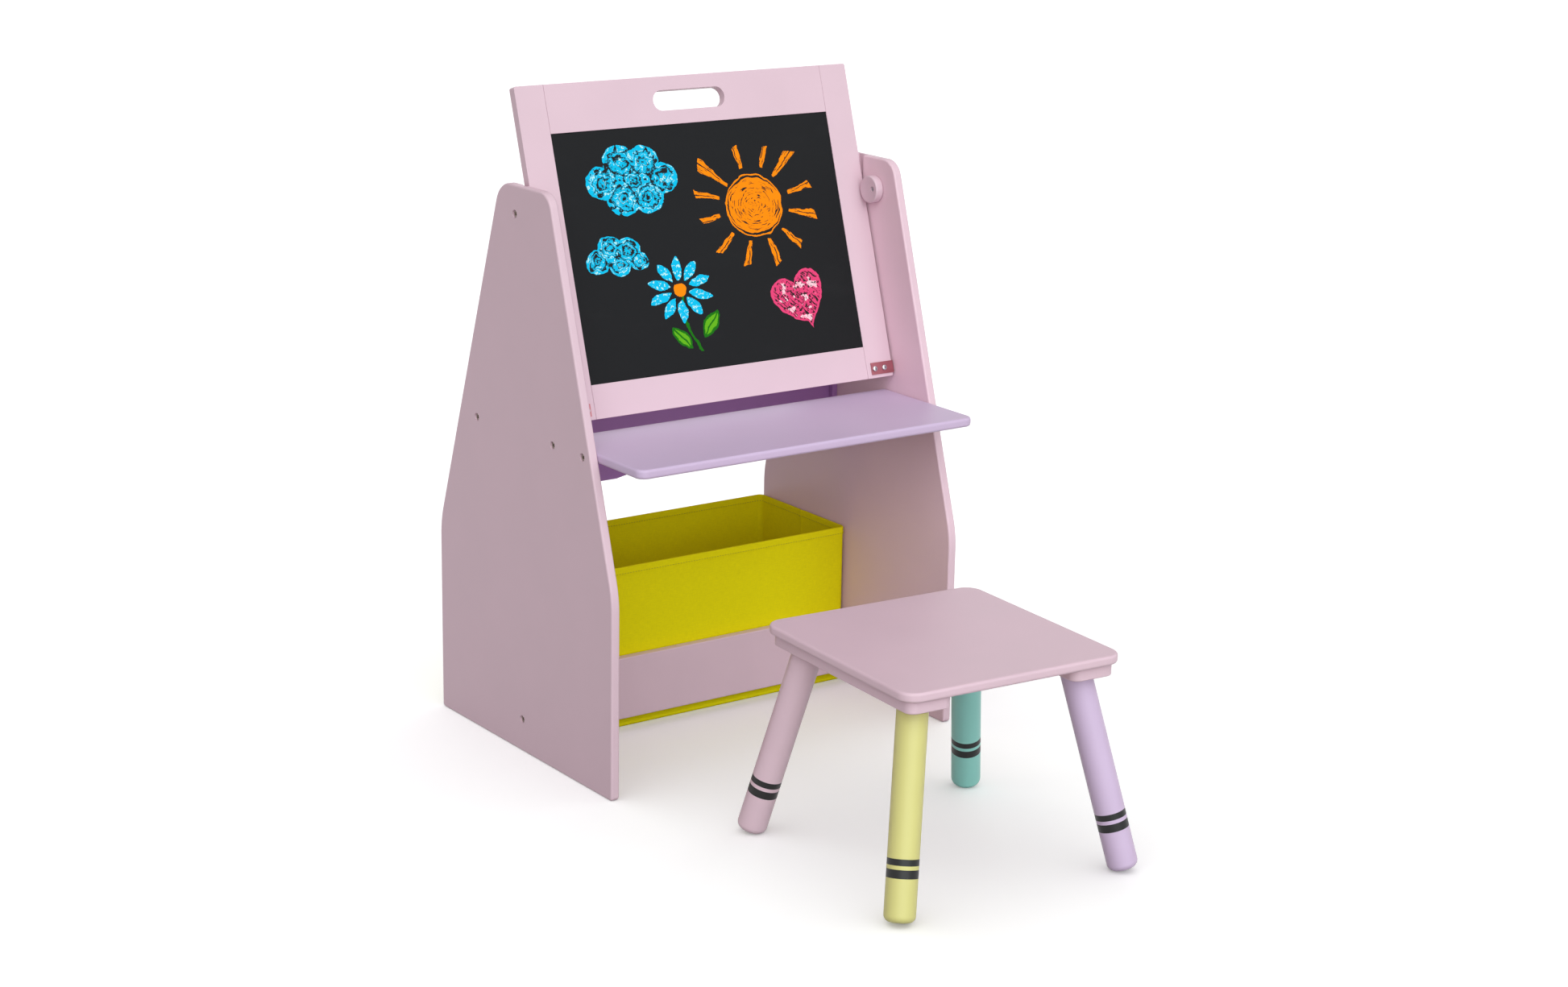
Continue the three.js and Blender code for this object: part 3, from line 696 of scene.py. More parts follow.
class StageSettings(bpy.types.PropertyGroup):
    """Camera, floor and light."""

    camera_place: FloatVectorProperty(
        name="Camera", description="Place of the camera", default=(-2.0699, -2.7742, 1.3232),
        subtype="TRANSLATION")
    camera_yaw: angle_field("Yaw", "Turn of the view from +Y toward +X", 0.62902)
    camera_pitch: angle_field("Pitch", "Rise of the view", -0.26892)
    camera_roll: angle_field("Roll", "Turn of the view about itself", 0.019)
    lens: number_field("Lens", "Focal length in millimetres", 66.12)
    key: number_field("Key light", "Strength of the key light", 2.75)
    key_tint: tint_field("Key tint", "Colour of the key light", 0.9, 1.0, 1.0)
    stool_fill: number_field("Stool light", "Strength of the stool's own light", 0.3)
    panel_fill: number_field("Panel light", "Strength of the light on the right panel's inner face", 0.55)
    panel_tint: tint_field("Panel tint", "Colour of the light on the right panel", 1.0, 0.84, 0.88)
    sky: number_field("Sky", "Strength of the even light", 0.35)
    sky_tint: tint_field("Sky tint", "Colour of the even light", 1.0, 0.91, 0.94)
    floor_light: number_field("Floor light", "Strength of the light on the floor alone", 2.0)
    floor_white: number_field("Floor white", "Brightness of the open floor, 1 is white", 1.2)
    paper: number_field("Paper", "Share of plain white in the seen floor", 0.2)


def settings():
    scene = bpy.context.scene
    return scene.easel_sizes, scene.easel_colours, scene.easel_stage


def pink_lacquer():
    return lacquer("pink_lacquer", settings()[1].pink)


def lilac_lacquer():
    return lacquer("lilac_lacquer", settings()[1].lilac)


def steel_plate():
    return metal("zinc_plated_steel", settings()[1].steel, 0.22)


# Stage

class EASEL_OT_stage(bpy.types.Operator):
    """Makes the camera, the lights and the floor"""

    bl_idname = "easel.stage"
    bl_label = "Stage"

    sensor_width = 36
    floor_reach = 30.0
    even = (1, 1, 1)
    widths = {"key": 80, "stool_fill": 120, "panel_fill": 50, "floor_light": 160}
    aims = {
        "key": (0.24, 0.8, -0.55), "stool_fill": (0.85, 0.3, -0.3),
        "panel_fill": (0.8, 0.55, -0.25), "floor_light": (0, 0, -1),
    }

    def execute(self, context):
        stage = settings()[2]
        yaw, pitch, roll = stage.camera_yaw, stage.camera_pitch, stage.camera_roll
        look = Vector((math.sin(yaw) * math.cos(pitch), math.cos(yaw) * math.cos(pitch), math.sin(pitch)))
        level = Vector((math.cos(yaw), -math.sin(yaw), 0))
        over = level.cross(look)
        right = level * math.cos(roll) + over * math.sin(roll)
        up = over * math.cos(roll) - level * math.sin(roll)
        data = bpy.data.cameras.new("camera")
        data.lens, data.sensor_width = stage.lens, self.sensor_width
        camera = linked("camera", data)
        turn = Matrix((right, up, -look)).transposed().to_4x4()
        camera.matrix_world = Matrix.Translation(stage.camera_place) @ turn
        context.scene.camera = camera
        context.scene.view_settings.view_transform = "Standard"
        pieces = [obj for obj in context.scene.objects if obj.type == "MESH"]
        on_stool = [obj for obj in pieces if obj.name.startswith(("seat_", "leg_"))]
        inner = [obj for obj in pieces if obj.name.startswith("side_board_right")]
        self.lamp("key", stage.key, stage.key_tint, pieces)
        self.lamp("stool_fill", stage.stool_fill, self.even, on_stool)
        self.lamp("panel_fill", stage.panel_fill, stage.panel_tint, inner)
        self.sky(context.scene, stage.sky, stage.sky_tint)
        self.lamp("floor_light", stage.floor_light, self.even, [self.floor(stage)])
        return {"FINISHED"}

    def lamp(self, name, strength, tint, lit):
        """Distant lamp, wide for soft shadows, that lights some objects only."""
        data = bpy.data.lights.new(name, "SUN")
        data.energy, data.angle, data.color = strength, math.radians(self.widths[name]), tint
        holder = linked(name, data)
        holder.rotation_mode = "QUATERNION"
        holder.rotation_quaternion = Vector(self.aims[name]).to_track_quat("-Z", "Y")
        group = bpy.data.collections.new(f"{name}_pieces")
        for piece in lit:
            group.objects.link(piece)
        holder.light_linking.receiver_collection = group

    def sky(self, scene, strength, tint):
        """Even surroundings, plain white where the camera or a reflection sees them."""
        world = bpy.data.worlds.new("surroundings")
        scene.world = world
        graph = Graph("surroundings", world)
        colour = graph.mix(graph.seen(), scaled(tint, strength), self.even)
        graph.close(graph.node("ShaderNodeBackground", None, {"Color": colour, "Strength": 1.0}), "World")

    def floor(self, stage):
        reach = self.floor_reach
        shell = Shell()
        corners = ((-reach, -reach), (reach, -reach), (reach, reach), (-reach, reach))
        shell.faces.append(tuple(shell.ring([(x, y, 0) for x, y in corners])))
        mesh = shell.mesh("floor")
        mesh.materials.append(self.floor_paint(stage))
        floor = linked("floor", mesh)
        return floor

    def floor_paint(self, stage):
        """White floor, seen as paper that is pure white in the open and grey where the sky is hidden."""
        graph = Graph("white_floor")
        fine = graph.grain(graph.place(), 0.4, 2.0)
        plain = graph.mix(fine, (0.34, 0.34, 0.34), (0.36, 0.36, 0.36))
        lamp = stage.floor_light / math.pi
        open_floor = tuple(stage.floor_white / (stage.sky * part + lamp) for part in stage.sky_tint)
        seen = graph.seen()
        lit = graph.node("ShaderNodeBsdfDiffuse", None, {"Color": graph.mix(seen, plain, open_floor)})
        paper = graph.node("ShaderNodeEmission", None, {"Strength": 1.0})
        return graph.close(graph.node("ShaderNodeMixShader", None, {0: seen * stage.paper, 1: lit, 2: paper}))


# Pieces

def pink_piece(name, mesh, body, node):
    """Adds a mesh in pink lacquer for one CAD node."""
    return add_piece(name, mesh, pink_lacquer(), body, [node])


def level_board(name, edge, lo, hi, rounding, stand=UPRIGHT):
    """Lying board of an outline between the heights of two corners."""
    return slab(name, edge, hi.z - lo.z, rounding, stand @ Matrix.Translation((0, 0, lo.z)))


def board_piece(name, node, body, material, rounding, turn=UPRIGHT, edge=None, holes=(), tools=()):
    """Flat board in the x-z plane that stands for a CAD node, in a frame turned about the origin."""
    lo, hi = box_in(node, turn)
    shape = edge or rectangle((lo.x, lo.z), (hi.x, hi.z), 0)
    place = turn @ Matrix.Translation((0, hi.y, 0)) @ STANDING
    mesh = slab(name, shape, hi.y - lo.y, rounding, place, holes)
    if tools:
        mesh = carve(mesh, tools)
    return add_piece(name, mesh, material, body, [node])


def slot_tool(side, sign):
    """Slot for the board's pin in a side panel: upright in front, sloped behind, open at the top."""
    depth, beyond = 5 * MM, GAP * 4
    lo, hi = box_in(f"board_pin_{side}")
    panel_lo, panel_hi = box_in(f"side_panel_{side}")
    centre = Vector(((lo.y + hi.y) / 2, (lo.z + hi.z) / 2))
    radius = (hi.z - lo.z) / 2 + GAP
    slope = math.atan2(SLOPE.y, SLOPE.z)
    edge = arc(centre, radius, -math.pi, -slope, 12)
    top = panel_hi.z + beyond
    rise = (top - edge[-1].y) / math.cos(slope)
    edge.append(edge[-1] + Vector((math.sin(slope), math.cos(slope))) * rise)
    edge.append(Vector((centre.x - radius, top)))
    start = panel_hi.x - depth if sign < 0 else panel_lo.x - beyond
    return slab("slot", edge, depth + beyond, 0, Matrix.Translation((start, 0, 0)) @ SIDEWAYS)


class EASEL_OT_panels(bpy.types.Operator):
    """Makes the two side panels with their bolt recesses and pin slots"""

    bl_idname = "easel.panels"
    bl_label = "Side panels"

    kink_height = 262 * MM
    top_front_share = 146 / 425
    top_back_share = 264 / 425
    foot_radius = 5 * MM
    kink_radius = 130 * MM
    back_radius = 36 * MM
    front_radius = 26 * MM

    def execute(self, context):
        sizes = settings()[0]
        for side, sign in SIDES.items():
            lo, hi = box_in(f"side_panel_{side}")
            depth = hi.y - lo.y
            front, back = lo.y + depth * self.top_front_share, lo.y + depth * self.top_back_share
            edge = outline([
                (lo.y, 0, self.foot_radius), (hi.y, 0, self.foot_radius),
                (hi.y, self.kink_height, self.kink_radius), (back, hi.z, self.back_radius),
                (front, hi.z, self.front_radius), (lo.y, self.kink_height, self.kink_radius),
            ], 14)
            pockets = [self.pocket(node, lo, hi) for node in bolts_on(side)]
            place = side_place(lo, hi, sign)
            name = f"side_panel_{side}_board"
            mesh = slab(name, edge, hi.x - lo.x, sizes.panel_round, place, pockets=pockets)
            mesh = carve(mesh, [slot_tool(side, sign)])
            pink_piece(f"side_board_{side}", mesh, "frame", f"side_panel_{side}")
        return {"FINISHED"}

    def pocket(self, node, panel_lo, panel_hi):
        """Round recess for a bolt's head."""
        lo, hi = box_in(node)
        centre = ((lo.y + hi.y) / 2, (lo.z + hi.z) / 2)
        recess = panel_hi.x - hi.x if node.endswith("right") else lo.x - panel_lo.x
        return circle(centre, (hi.z - lo.z) / 2 + GAP, 32), recess + BOLT_HEAD + GAP


class EASEL_OT_cross_members(bpy.types.Operator):
    """Makes the rails, the apron, its corner strips, the tray and the kick bar"""

    bl_idname = "easel.cross_members"
    bl_label = "Cross members"

    arch_width = 192 * MM
    arch_rise = 10 * MM
    tray_front_radius = 13 * MM
    tray_back_radius = 6 * MM

    def execute(self, context):
        sizes = settings()[0]
        members = {"back_rest": ("top_rail", LEAN), "rear_member": ("rear_rail", UPRIGHT),
                   "foot_bar": ("kick_bar", UPRIGHT)}
        for name, (node, turn) in members.items():
            board_piece(name, node, "frame", pink_lacquer(), sizes.member_round, turn)
        # The apron and its corner strips take the darker lilac, a painted shade; their own colour is the
        # tray's lilac
        shaded_lilac_finish = lacquer("deep_lilac_lacquer", settings()[1].deep_lilac)
        board_piece("apron_board", "apron", "frame", shaded_lilac_finish, sizes.board_round, edge=self.arched())
        for side in SIDES:
            board_piece(f"corner_strip_{side}", f"apron_cleat_{side}", "frame", shaded_lilac_finish, sizes.board_round)
        lo, hi = box_in("tray")
        edge = outline([
            (lo.x, lo.y, self.tray_front_radius), (hi.x, lo.y, self.tray_front_radius),
            (hi.x, hi.y, self.tray_back_radius), (lo.x, hi.y, self.tray_back_radius),
        ])
        mesh = level_board("tray_board", edge, lo, hi, sizes.seat_round)
        add_piece("tray_board", mesh, lilac_lacquer(), "frame", ["tray"])
        return {"FINISHED"}

    def arched(self):
        """The apron's outline with its shallow arch below."""
        lo, hi = box_in("apron")
        half = self.arch_width / 2
        radius = (half ** 2 + self.arch_rise ** 2) / (2 * self.arch_rise)
        spread = math.asin(half / radius)
        centre = Vector((0, lo.z + self.arch_rise - radius))
        under = arc(centre, radius, math.pi / 2 + spread, math.pi / 2 - spread, 24)
        corner = [Vector((lo.x, lo.z))]
        return corner + under + [Vector((hi.x, lo.z)), Vector((hi.x, hi.z)), Vector((lo.x, hi.z))]


class EASEL_OT_board(bpy.types.Operator):
    """Makes the board's stiles and rails, grooved for its two sheets"""

    bl_idname = "easel.board"
    bl_label = "Board frame"

    corner = 3 * MM
    handle_length = 110 * MM
    handle_height = 26 * MM

    def execute(self, context):
        for side, sign in SIDES.items():
            lo, hi = box_in(f"board_stile_{side}", LEAN)
            inner, outer = (hi.x, lo.x) if sign < 0 else (lo.x, hi.x)
            corners = [(inner, lo.z, 0), (outer, lo.z, self.corner),
                       (outer, hi.z, self.corner), (inner, hi.z, 0)]
            if sign < 0:
                corners.reverse()
            self.member(f"stile_{side}", f"board_stile_{side}", edge=outline(corners))
        lo, hi = box_in("board_rail_top", LEAN)
        middle = (lo.z + hi.z) / 2
        across, up = self.handle_length / 2, self.handle_height / 2
        handle = rectangle((-across, middle - up), (across, middle + up), up - 0.01 * MM, 16)
        self.member("rail_top", "board_rail_top", holes=[handle])
        self.member("rail_bottom", "board_rail_bottom")
        return {"FINISHED"}

    def member(self, name, node, **shape):
        """One member of the frame, grooved for the sheets."""
        rounding = settings()[0].board_round
        board_piece(name, node, "board", pink_lacquer(), rounding, LEAN, tools=[self.groove()], **shape)

    def groove(self):
        """Space of both sheets with a little room round it."""
        front, _ = box_in("chalkboard_panel", LEAN)
        _, back = box_in("whiteboard_panel", LEAN)
        place = LEAN @ Matrix.Translation((0, back.y + GAP, 0)) @ STANDING
        edge = rectangle((front.x - GAP, front.z - GAP), (back.x + GAP, back.z + GAP), 0)
        return slab("groove", edge, back.y - front.y + 2 * GAP, 0, place)


class EASEL_OT_sheets(bpy.types.Operator):
    """Finishes the blackboard, the dry-erase sheet and the small steel pieces that keep their shape"""

    bl_idname = "easel.sheets"
    bl_label = "Writing surfaces"

    hidden_edge = 6 * MM

    def execute(self, context):
        colours = settings()[1]
        lo, _ = box_in("chalkboard_panel")
        corner = lo.x + self.hidden_edge, lo.z + self.hidden_edge
        paint("chalkboard_panel", blackboard("blackboard_lacquer", colours.black, *corner))
        paint("whiteboard_panel", dry_erase("dry_erase_surface", colours.white))
        for node in frame["nodes"]:
            if node.startswith(("hook_stud", "board_pin")):
                paint(node, steel_plate())
            if node.startswith("bracket_") and "screw" not in node:
                paint(node, metal("copper_plated_bracket", colours.copper, 0.3))
        return {"FINISHED"}


class EASEL_OT_cams(bpy.types.Operator):
    """Makes the eccentric discs and their screws"""

    bl_idname = "easel.cams"
    bl_label = "Cam discs"

    disc_round = 2 * MM
    pocket_depth = 3 * MM
    head = 2.4 * MM
    shank = 2 * MM

    def execute(self, context):
        for side, sign in SIDES.items():
            body, node = f"cam_{side}", f"cam_screw_{side}"
            lo, hi = box_in(f"cam_disc_{side}")
            pivot = Vector(JOINTS[f"cam_{side}_turn"]["pos_m"])
            disc = circle(((lo.y + hi.y) / 2, (lo.z + hi.z) / 2), (hi.z - lo.z) / 2, 72)
            near, far = box_in(node)
            radius = (far.z - near.z) / 2
            pockets = [(circle((pivot.y, pivot.z), radius + GAP, 32), self.pocket_depth)]
            place = side_place(lo, hi, -sign)
            mesh = slab(f"cam_{side}", disc, hi.x - lo.x, self.disc_round, place, pockets=pockets)
            pink_piece(f"turn_disc_{side}", mesh, body, f"cam_disc_{side}")
            shown = far.x if sign < 0 else near.x
            turn = Matrix.Rotation(-sign * math.pi / 2, 4, "Y")
            place = Matrix.Translation((shown, pivot.y, pivot.z)) @ turn
            screw(f"turn_screw_{side}", radius, self.head, far.x - near.x, self.shank, place, body, node)
        return {"FINISHED"}


def cross_tool(size, depth):
    """Tapered cross that a screwdriver leaves in a screw's head, its top at z = 0."""
    arm = size * 0.17
    corners = []
    for x, y in ((1, 0), (0, 1), (-1, 0), (0, -1)):
        for out, side in ((size, -arm), (size, arm), (arm, arm)):
            corners.append(Vector((x * out - y * side, y * out + x * side)))
    shell = Shell()
    low = shell.ring([(p.x * 0.55, p.y * 0.55, -depth) for p in corners])
    high = shell.ring([(p.x * 1.05, p.y * 1.05, depth * 0.2) for p in corners])
    shell.band(low, high)
    shell.cap([low], False)
    shell.cap([high], True)
    return shell.mesh("cross")


def screw(name, radius, head, length, shank, place, body, node):
    """Domed screw with a cross recess; place has its head's top at the origin and its axis along Z."""
    steps, crown = 6, head * 0.45
    profile = [(0, -length), (shank * 0.6, -length), (shank, -length + shank), (shank, -head),
               (radius * 0.96, -head)]
    for i in range(steps + 1):
        t = math.pi / 2 * i / steps
        profile.append((0 if i == steps else radius * math.cos(t), crown * math.sin(t) - crown))
    mesh = turned(name, profile, 32, cross_tool(radius * 0.55, head * 0.75), place)
    return add_piece(name, mesh, steel_plate(), body, [node])


class EASEL_OT_fixings(bpy.types.Operator):
    """Makes the bolts in the side panels and the screws of the brackets"""

    bl_idname = "easel.fixings"
    bl_label = "Bolts and screws"

    bolt_shank = 2.75 * MM
    socket_radius = 2.6 * MM
    socket_depth = 1.8 * MM
    screw_head = 2 * MM
    screw_shank = 1.5 * MM

    def execute(self, context):
        for side, sign in SIDES.items():
            for node in bolts_on(side):
                self.bolt(node, sign)
            for where in ("outer", "inner"):
                self.bracket_screw(f"bracket_screw_{where}_{side}")
        return {"FINISHED"}

    def bracket_screw(self, node):
        """Small screw in a bracket's front leaf, its cross turned by where it sits."""
        lo, hi = box_in(node, LEAN)
        width = hi.x - lo.x
        centre = Vector(((lo.x + hi.x) / 2, lo.y, (lo.z + hi.z) / 2))
        place = LEAN @ Matrix.Translation(centre) @ Matrix.Rotation(math.pi / 2, 4, "X")
        place = place @ Matrix.Rotation(0.5 + 0.9 * centre.x / width, 4, "Z")
        screw(f"pan_{node}", width / 2, self.screw_head, hi.y - lo.y, self.screw_shank, place, "board", node)

    def bolt(self, node, sign):
        """Round head with a hexagon socket, then the shank."""
        lo, hi = box_in(node)
        radius, length, shank = (hi.z - lo.z) / 2, hi.x - lo.x, self.bolt_shank
        outer = hi.x if sign > 0 else lo.x
        turn = Matrix.Rotation(sign * math.pi / 2, 4, "Y")
        place = Matrix.Translation((outer, (lo.y + hi.y) / 2, (lo.z + hi.z) / 2)) @ turn
        profile = [(0, -length), (shank * 0.7, -length), (shank, -length + shank), (shank, -BOLT_HEAD),
                   (radius, -BOLT_HEAD), (radius, -0.7 * MM), (radius - 0.3 * MM, -0.2 * MM),
                   (radius - 0.8 * MM, 0), (0, 0)]
        hexagon = circle((0, 0), self.socket_radius, 6)
        above = 0.6 * MM
        sunk = Matrix.Translation((0, 0, -self.socket_depth))
        tool = slab("socket", hexagon, self.socket_depth + above, 0, sunk)
        mesh = turned(f"socket_{node}", profile, 40, tool, place)
        finish = metal("dull_bolt_steel", settings()[1].bolt, 0.34)
        add_piece(f"socket_{node}", mesh, finish, "frame", [node])


class EASEL_OT_bin(bpy.types.Operator):
    """Makes the cloth bin with its hem, bottom seam and stitching"""

    bl_idname = "easel.bin"
    bl_label = "Fabric bin"

    wall = 2.4 * MM
    corner = 9 * MM
    side_points = 60
    end_points = 90
    wall_levels = 22
    crease = 1.4 * MM
    crease_width = 2.2 * MM
    room = Vector((1.2, 1.0, 0)) * MM
    sink = Vector((0, 0, 0.4)) * MM
    thread_radius = 0.5 * MM
    thread_share = 0.62

    def execute(self, context):
        sizes, colours, _ = settings()
        lo, hi = box_in("bin")
        self.lo, self.hi = lo + self.room, hi - self.room - self.sink
        cloth = bin_cloth("bin_cloth", colours.cloth, sizes.weave)
        add_piece("fabric_bin", self.shell(sizes.hem), cloth, "bin", ["bin"], sharp=60)
        sewn = thread("bin_thread", scaled(colours.cloth, 0.62))
        add_piece("bin_stitching", self.stitches(sizes), sewn, "bin", [])
        return {"FINISHED"}

    def path(self):
        """Points round the bin's outside at floor level, anticlockwise from its lower left corner."""
        radius = self.corner
        left, right = self.lo.x + radius, self.hi.x - radius
        front, back = self.lo.y + radius, self.hi.y - radius
        bends = []
        for i, centre in enumerate(((left, front), (right, front), (right, back), (left, back))):
            start = math.pi + math.pi / 2 * i
            bends.append(arc(Vector(centre), radius, start, start + math.pi / 2, 6))
        points = []
        for i, bend in enumerate(bends):
            start, end = bend[-1], bends[(i + 1) % 4][0]
            count = self.end_points if i % 2 else self.side_points
            points += bend + [start.lerp(end, k / count) for k in range(1, count)]
        return points

    def loop(self, path, away, z):
        """Points round the swaying cloth at an inset and a height."""
        points = []
        for p, q in zip(path, inset(path, away)):
            out = self.outward(p) * self.sway(p, z / self.hi.z)
            points.append(Vector((q.x + out.x, q.y + out.y, z)))
        return points

    def sway(self, p, share):
        """How far the cloth stands out at a point of the path and a share of the height."""
        middle = (self.lo + self.hi) / 2
        half = (self.hi - self.lo) / 2
        u, v = abs(p.x - middle.x) / half.x, abs(p.y - middle.y) / half.y
        flat = max(0.0, 1 - min(u, v) ** 6)
        drum = math.sin(math.pi * min(1, max(0, share)))
        broad = noise(Vector((p.x * 7, p.y * 7, share * 1.7)))
        fine = noise(Vector((p.x * 22, p.y * 22, share * 5)))
        fold = math.exp(-((p.y - middle.y) / self.crease_width) ** 2) if u > v else 0
        return flat * drum * (0.5 + 0.9 * (broad + 0.4 * fine)) * MM - fold * self.crease

    def rings(self, hem):
        """Profile of the wall as (inset, height), from the bottom outside to the bottom inside."""
        top, wall, inner = self.hi.z, self.wall, self.wall + 0.7 * MM
        seam = ((3.0, 0.0), (1.0, 0.0), (0.1, 0.8), (-0.5, 2.4), (-0.5, 3.6), (0.5, 5.2), (0.1, 6.4),
                (0.1, 8.2), (0.6, 9.4))
        profile = [(away * MM, z * MM) for away, z in seam]
        face, low = profile[-1]
        rise = top - hem - low
        profile += [(face, low + rise * i / self.wall_levels) for i in range(1, self.wall_levels)]
        profile += [
            (face, top - hem - 0.8 * MM), (0.0, top - hem), (-0.1 * MM, top - hem + 1.4 * MM),
            (0.0, top - hem * 0.5), (0.0, top - 1.6 * MM), (0.5 * MM, top - 0.5 * MM), (1.3 * MM, top),
            (wall + 0.2 * MM, top - 0.1 * MM), (inner, top - 1.4 * MM), (inner, top - hem * 0.5),
            (inner, top - hem + 0.8 * MM), (wall, top - hem - 0.4 * MM),
        ]
        low = 5 * MM
        drop = top - hem - low
        profile += [(wall, low + drop * (1 - i / self.wall_levels)) for i in range(1, self.wall_levels)]
        return profile + [(wall + 0.2 * MM, 4.4 * MM), (wall + 1.2 * MM, 3.2 * MM), (wall + 3 * MM, 3.0 * MM)]

    def shell(self, hem):
        """Closed mesh of the wall and the bottom."""
        path, profile = self.path(), self.rings(hem)
        shell = Shell()
        rings = [shell.ring(self.loop(path, away, z)) for away, z in profile]
        lengths = [0.0]
        for a, b in zip(profile, profile[1:]):
            lengths.append(lengths[-1] + math.dist(a, b))
        for low, high in zip(rings, rings[1:]):
            shell.band(low, high)
        walls = len(shell.faces)
        shell.cap([rings[0]], False)
        shell.cap([rings[-1]], True)
        mesh = shell.mesh("fabric_bin")
        self.lay_cloth(mesh, path, lengths, walls)
        return mesh

    def outward(self, p):
        """Direction out of the bin at a point of the path."""
        inner_x = min(max(p.x, self.lo.x + self.corner), self.hi.x - self.corner)
        inner_y = min(max(p.y, self.lo.y + self.corner), self.hi.y - self.corner)
        return Vector((p.x - inner_x, p.y - inner_y)).normalized()

    def lay_cloth(self, mesh, path, lengths, walls):
        """Lengths along the cloth, in metres, as its texture coordinates."""
        layer = mesh.uv_layers.new(name="cloth")
        count = len(path)
        around = [0.0]
        for i in range(count):
            around.append(around[-1] + (path[(i + 1) % count] - path[i]).length)
        for number, polygon in enumerate(mesh.polygons):
            for loop in polygon.loop_indices:
                vertex = mesh.loops[loop].vertex_index
                level, i = divmod(vertex, count)
                if number >= walls:
                    layer.data[loop].uv = mesh.vertices[vertex].co.xy
                    continue
                column = number % count
                run = around[column] if i == column else around[column + 1]
                layer.data[loop].uv = (run, lengths[level])

    def stitches(self, sizes):
        """Short raised threads round the hem, inside and outside."""
        shell = Shell()
        path = self.path()
        z = self.hi.z - sizes.hem + 2.2 * MM
        for away in (-0.15 * MM, self.wall + 0.85 * MM):
            line = self.loop(path, away, z)
            self.sew(shell, line + line[:1], sizes.stitch)
        return shell.mesh("bin_stitching")

    def sew(self, shell, line, pitch):
        """Threads along a line, one to each stitch, with a gap after each."""
        runs = [0.0]
        for a, b in zip(line, line[1:]):
            runs.append(runs[-1] + (b - a).length)
        count = int(runs[-1] / pitch)
        step = runs[-1] / count
        upward = Vector((0, 0, 1))
        index = 0
        for k in range(count):
            start = k * step
            while runs[index + 1] < start:
                index += 1
            a, b = line[index], line[index + 1]
            ahead = (b - a).normalized()
            base = a.lerp(b, (start - runs[index]) / (runs[index + 1] - runs[index]))
            across = ahead.cross(upward)
            rings = []
            for share, swell in ((0.0, 0.35), (0.18, 0.9), (0.5, 1.1), (0.82, 0.9), (1.0, 0.35)):
                centre = base + ahead * (step * self.thread_share) * share
                ring = []
                for i in range(6):
                    t = 2 * math.pi * i / 6
                    way = across * math.cos(t) + upward * math.sin(t)
                    ring.append(centre + way * self.thread_radius * swell)
                rings.append(shell.ring(reversed(ring)))
            for low, high in zip(rings, rings[1:]):
                shell.band(low, high)
            shell.faces += [tuple(reversed(rings[0])), tuple(rings[-1])]


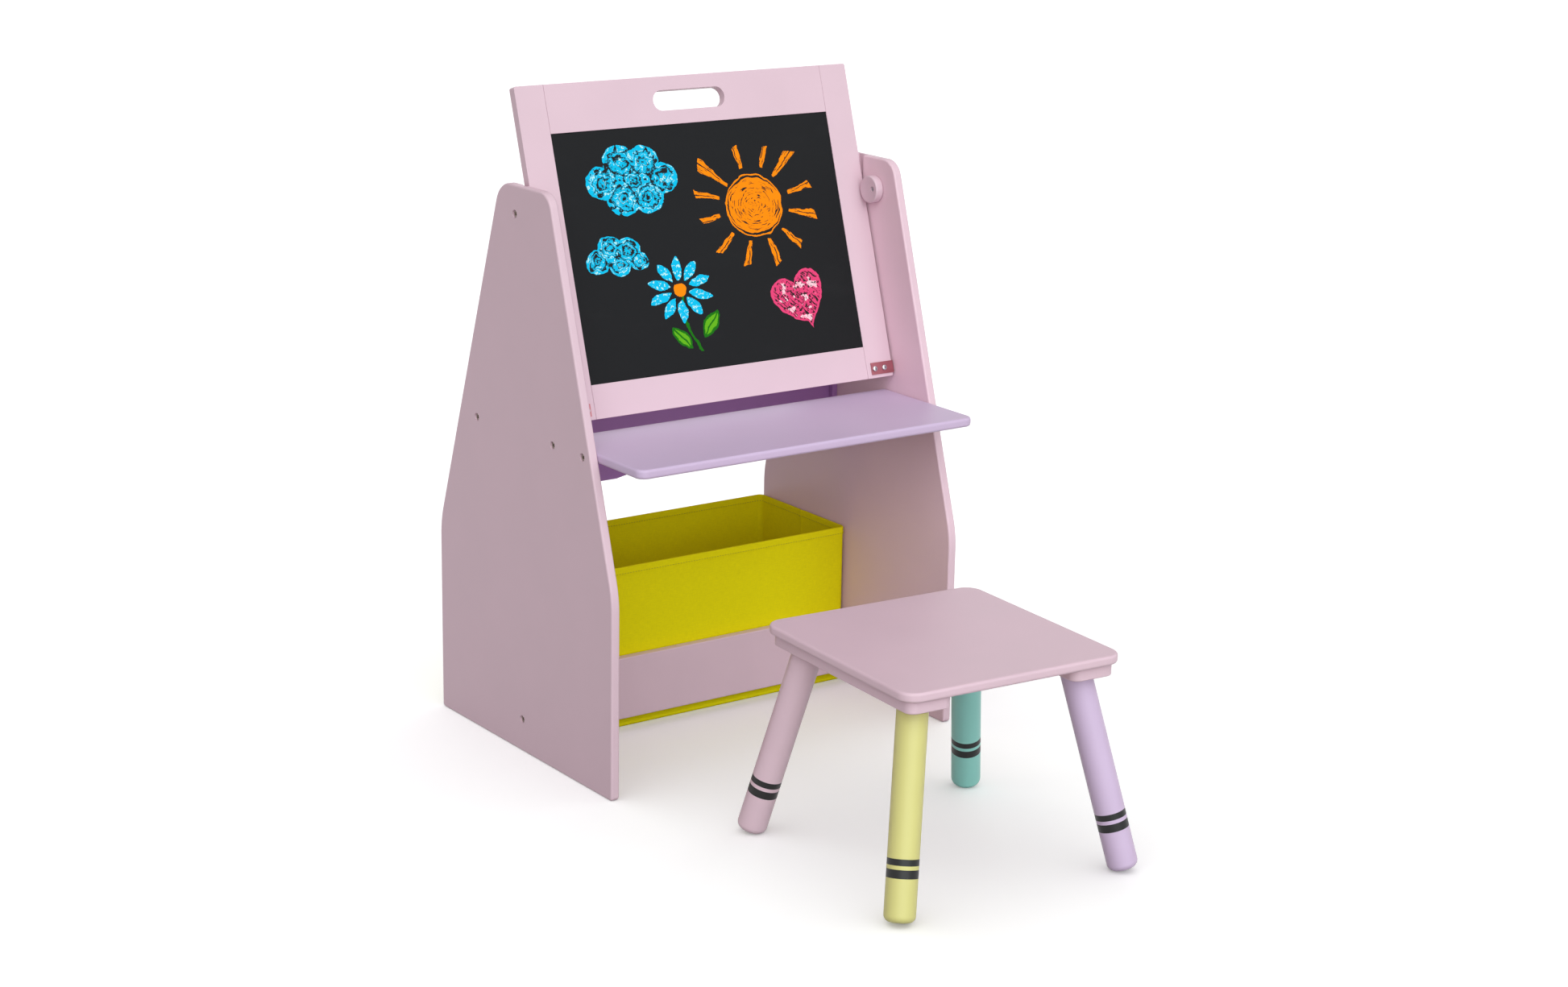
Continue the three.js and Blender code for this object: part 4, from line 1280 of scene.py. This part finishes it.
class EASEL_OT_stool(bpy.types.Operator):
    """Makes the stool's seat, battens and legs"""

    bl_idname = "easel.stool"
    bl_label = "Stool"

    turn = math.radians(-3.7)
    seat_corner = 22 * MM
    batten_corner = 12 * MM
    leg_radius = 18.5 * MM
    leg_inset = 37 * MM
    splay = (46 * MM, 52 * MM)
    foot_round = 8 * MM
    rings = ((0.0505, 0.0605), (0.065, 0.0725))

    def execute(self, context):
        sizes, colours, _ = settings()
        lo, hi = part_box("stool_seat")
        centre = (lo + hi) / 2
        stand = Matrix.Translation((centre.x, centre.y, 0)) @ Matrix.Rotation(self.turn, 4, "Z")
        lo, hi = box_in("stool_seat", stand)
        edge = rectangle(lo.xy, hi.xy, self.seat_corner, 14)
        mesh = level_board("seat_board", edge, lo, hi, sizes.seat_round, stand)
        pink_piece("seat_board", mesh, "stool", "stool_seat")
        for side in SIDES:
            name, node = f"seat_batten_{side}", f"stool_batten_{side}"
            lo, hi = box_in(node, stand)
            edge = rectangle(lo.xy, hi.xy, self.batten_corner, 10)
            pink_piece(name, level_board(name, edge, lo, hi, sizes.member_round, stand), "stool", node)
            self.legs(side, lo, hi, stand, colours, sizes)
        return {"FINISHED"}

    def legs(self, side, lo, hi, stand, colours, sizes):
        """The two splayed legs below one batten."""
        finishes = {
            "back_left": ("pink_lacquer", colours.pink), "front_left": ("yellow_lacquer", colours.yellow),
            "back_right": ("teal_lacquer", colours.teal), "front_right": ("lilac_lacquer", colours.lilac),
        }
        for end, way in (("front", -1), ("back", 1)):
            name = f"{end}_{side}"
            slot, colour = finishes[name]
            top = Vector(((lo.x + hi.x) / 2, way * (hi.y - self.leg_inset), lo.z - GAP))
            rise = Vector((-SIDES[side] * self.splay[0], -way * self.splay[1], top.z)).normalized()
            tilt = math.acos(rise.z)
            flat = (self.leg_radius - self.foot_round) * math.sin(tilt)
            foot = flat + self.foot_round * (1 - math.cos(tilt))
            base = top - rise * ((top.z - foot) / rise.z)
            axis = rise.to_track_quat("Z", "Y").to_matrix().to_4x4()
            place = stand @ Matrix.Translation(base) @ axis
            mesh = self.leg_mesh(name, (top - base).length, place, (stand @ top).z, sizes.leg_sides)
            material = banded_lacquer(f"{slot}_with_rings", colour, self.rings, scaled(colours.black, 0.3))
            add_piece(f"leg_{name}", mesh, material, "stool", [f"stool_leg_{name}"])

    def leg_mesh(self, name, length, place, ceiling, sides):
        """Leg along its own Z from its rounded foot up, cut level below the batten."""
        shell = Shell()
        steps = 8
        profile = []
        for i in range(steps + 1):
            t = math.pi / 2 * i / steps
            radius = self.leg_radius - self.foot_round + self.foot_round * math.sin(t)
            profile.append((radius, self.foot_round * (1 - math.cos(t))))
        profile += [(self.leg_radius, length * share) for share in (0.2, 0.4, 0.6, 0.8)]
        rings = [shell.ring([(*p, z) for p in circle((0, 0), r, sides)]) for r, z in profile]
        up = place.to_3x3().col[2]
        cut = []
        for p in circle((0, 0), self.leg_radius, sides):
            low = place @ Vector((*p, 0))
            cut.append((*p, (ceiling - low.z) / up.z))
        rings.append(shell.ring(cut))
        for low, high in zip(rings, rings[1:]):
            shell.band(low, high)
        shell.faces += [tuple(reversed(rings[0])), tuple(rings[-1])]
        mesh = shell.mesh(name)
        lengths = mesh.uv_layers.new(name="along")
        for loop in mesh.loops:
            x, y, z = mesh.vertices[loop.vertex_index].co
            lengths.data[loop.index].uv = (math.atan2(y, x) * self.leg_radius, z)
        mesh.transform(place)
        return mesh


class EASEL_PT_panel(bpy.types.Panel):
    """Lists the easel's settings and pieces"""

    bl_idname = "EASEL_PT_panel"
    bl_label = "Kids easel"
    bl_space_type = "VIEW_3D"
    bl_region_type = "UI"
    bl_category = "Easel"

    def draw(self, context):
        for group in settings():
            for name in group.bl_rna.properties.keys():
                if name not in {"rna_type", "name"}:
                    self.layout.prop(group, name)
        for piece in OPERATORS:
            self.layout.operator(piece.bl_idname)


OPERATORS = (
    EASEL_OT_panels, EASEL_OT_cross_members, EASEL_OT_board, EASEL_OT_sheets, EASEL_OT_cams,
    EASEL_OT_fixings, EASEL_OT_bin, EASEL_OT_stool, EASEL_OT_stage,
)
GROUPS = {"easel_sizes": EaselSizes, "easel_colours": EaselColours, "easel_stage": StageSettings}


def register():
    for piece in (*GROUPS.values(), *OPERATORS, EASEL_PT_panel):
        bpy.utils.register_class(piece)
    for name, group in GROUPS.items():
        setattr(bpy.types.Scene, name, PointerProperty(type=group))


def unregister():
    for name in GROUPS:
        delattr(bpy.types.Scene, name)
    for piece in (EASEL_PT_panel, *reversed(OPERATORS), *reversed(GROUPS.values())):
        bpy.utils.unregister_class(piece)


def main():
    register()
    for piece in OPERATORS:
        group, name = piece.bl_idname.split(".")
        getattr(getattr(bpy.ops, group), name)()


if __name__ == "__main__":
    main()
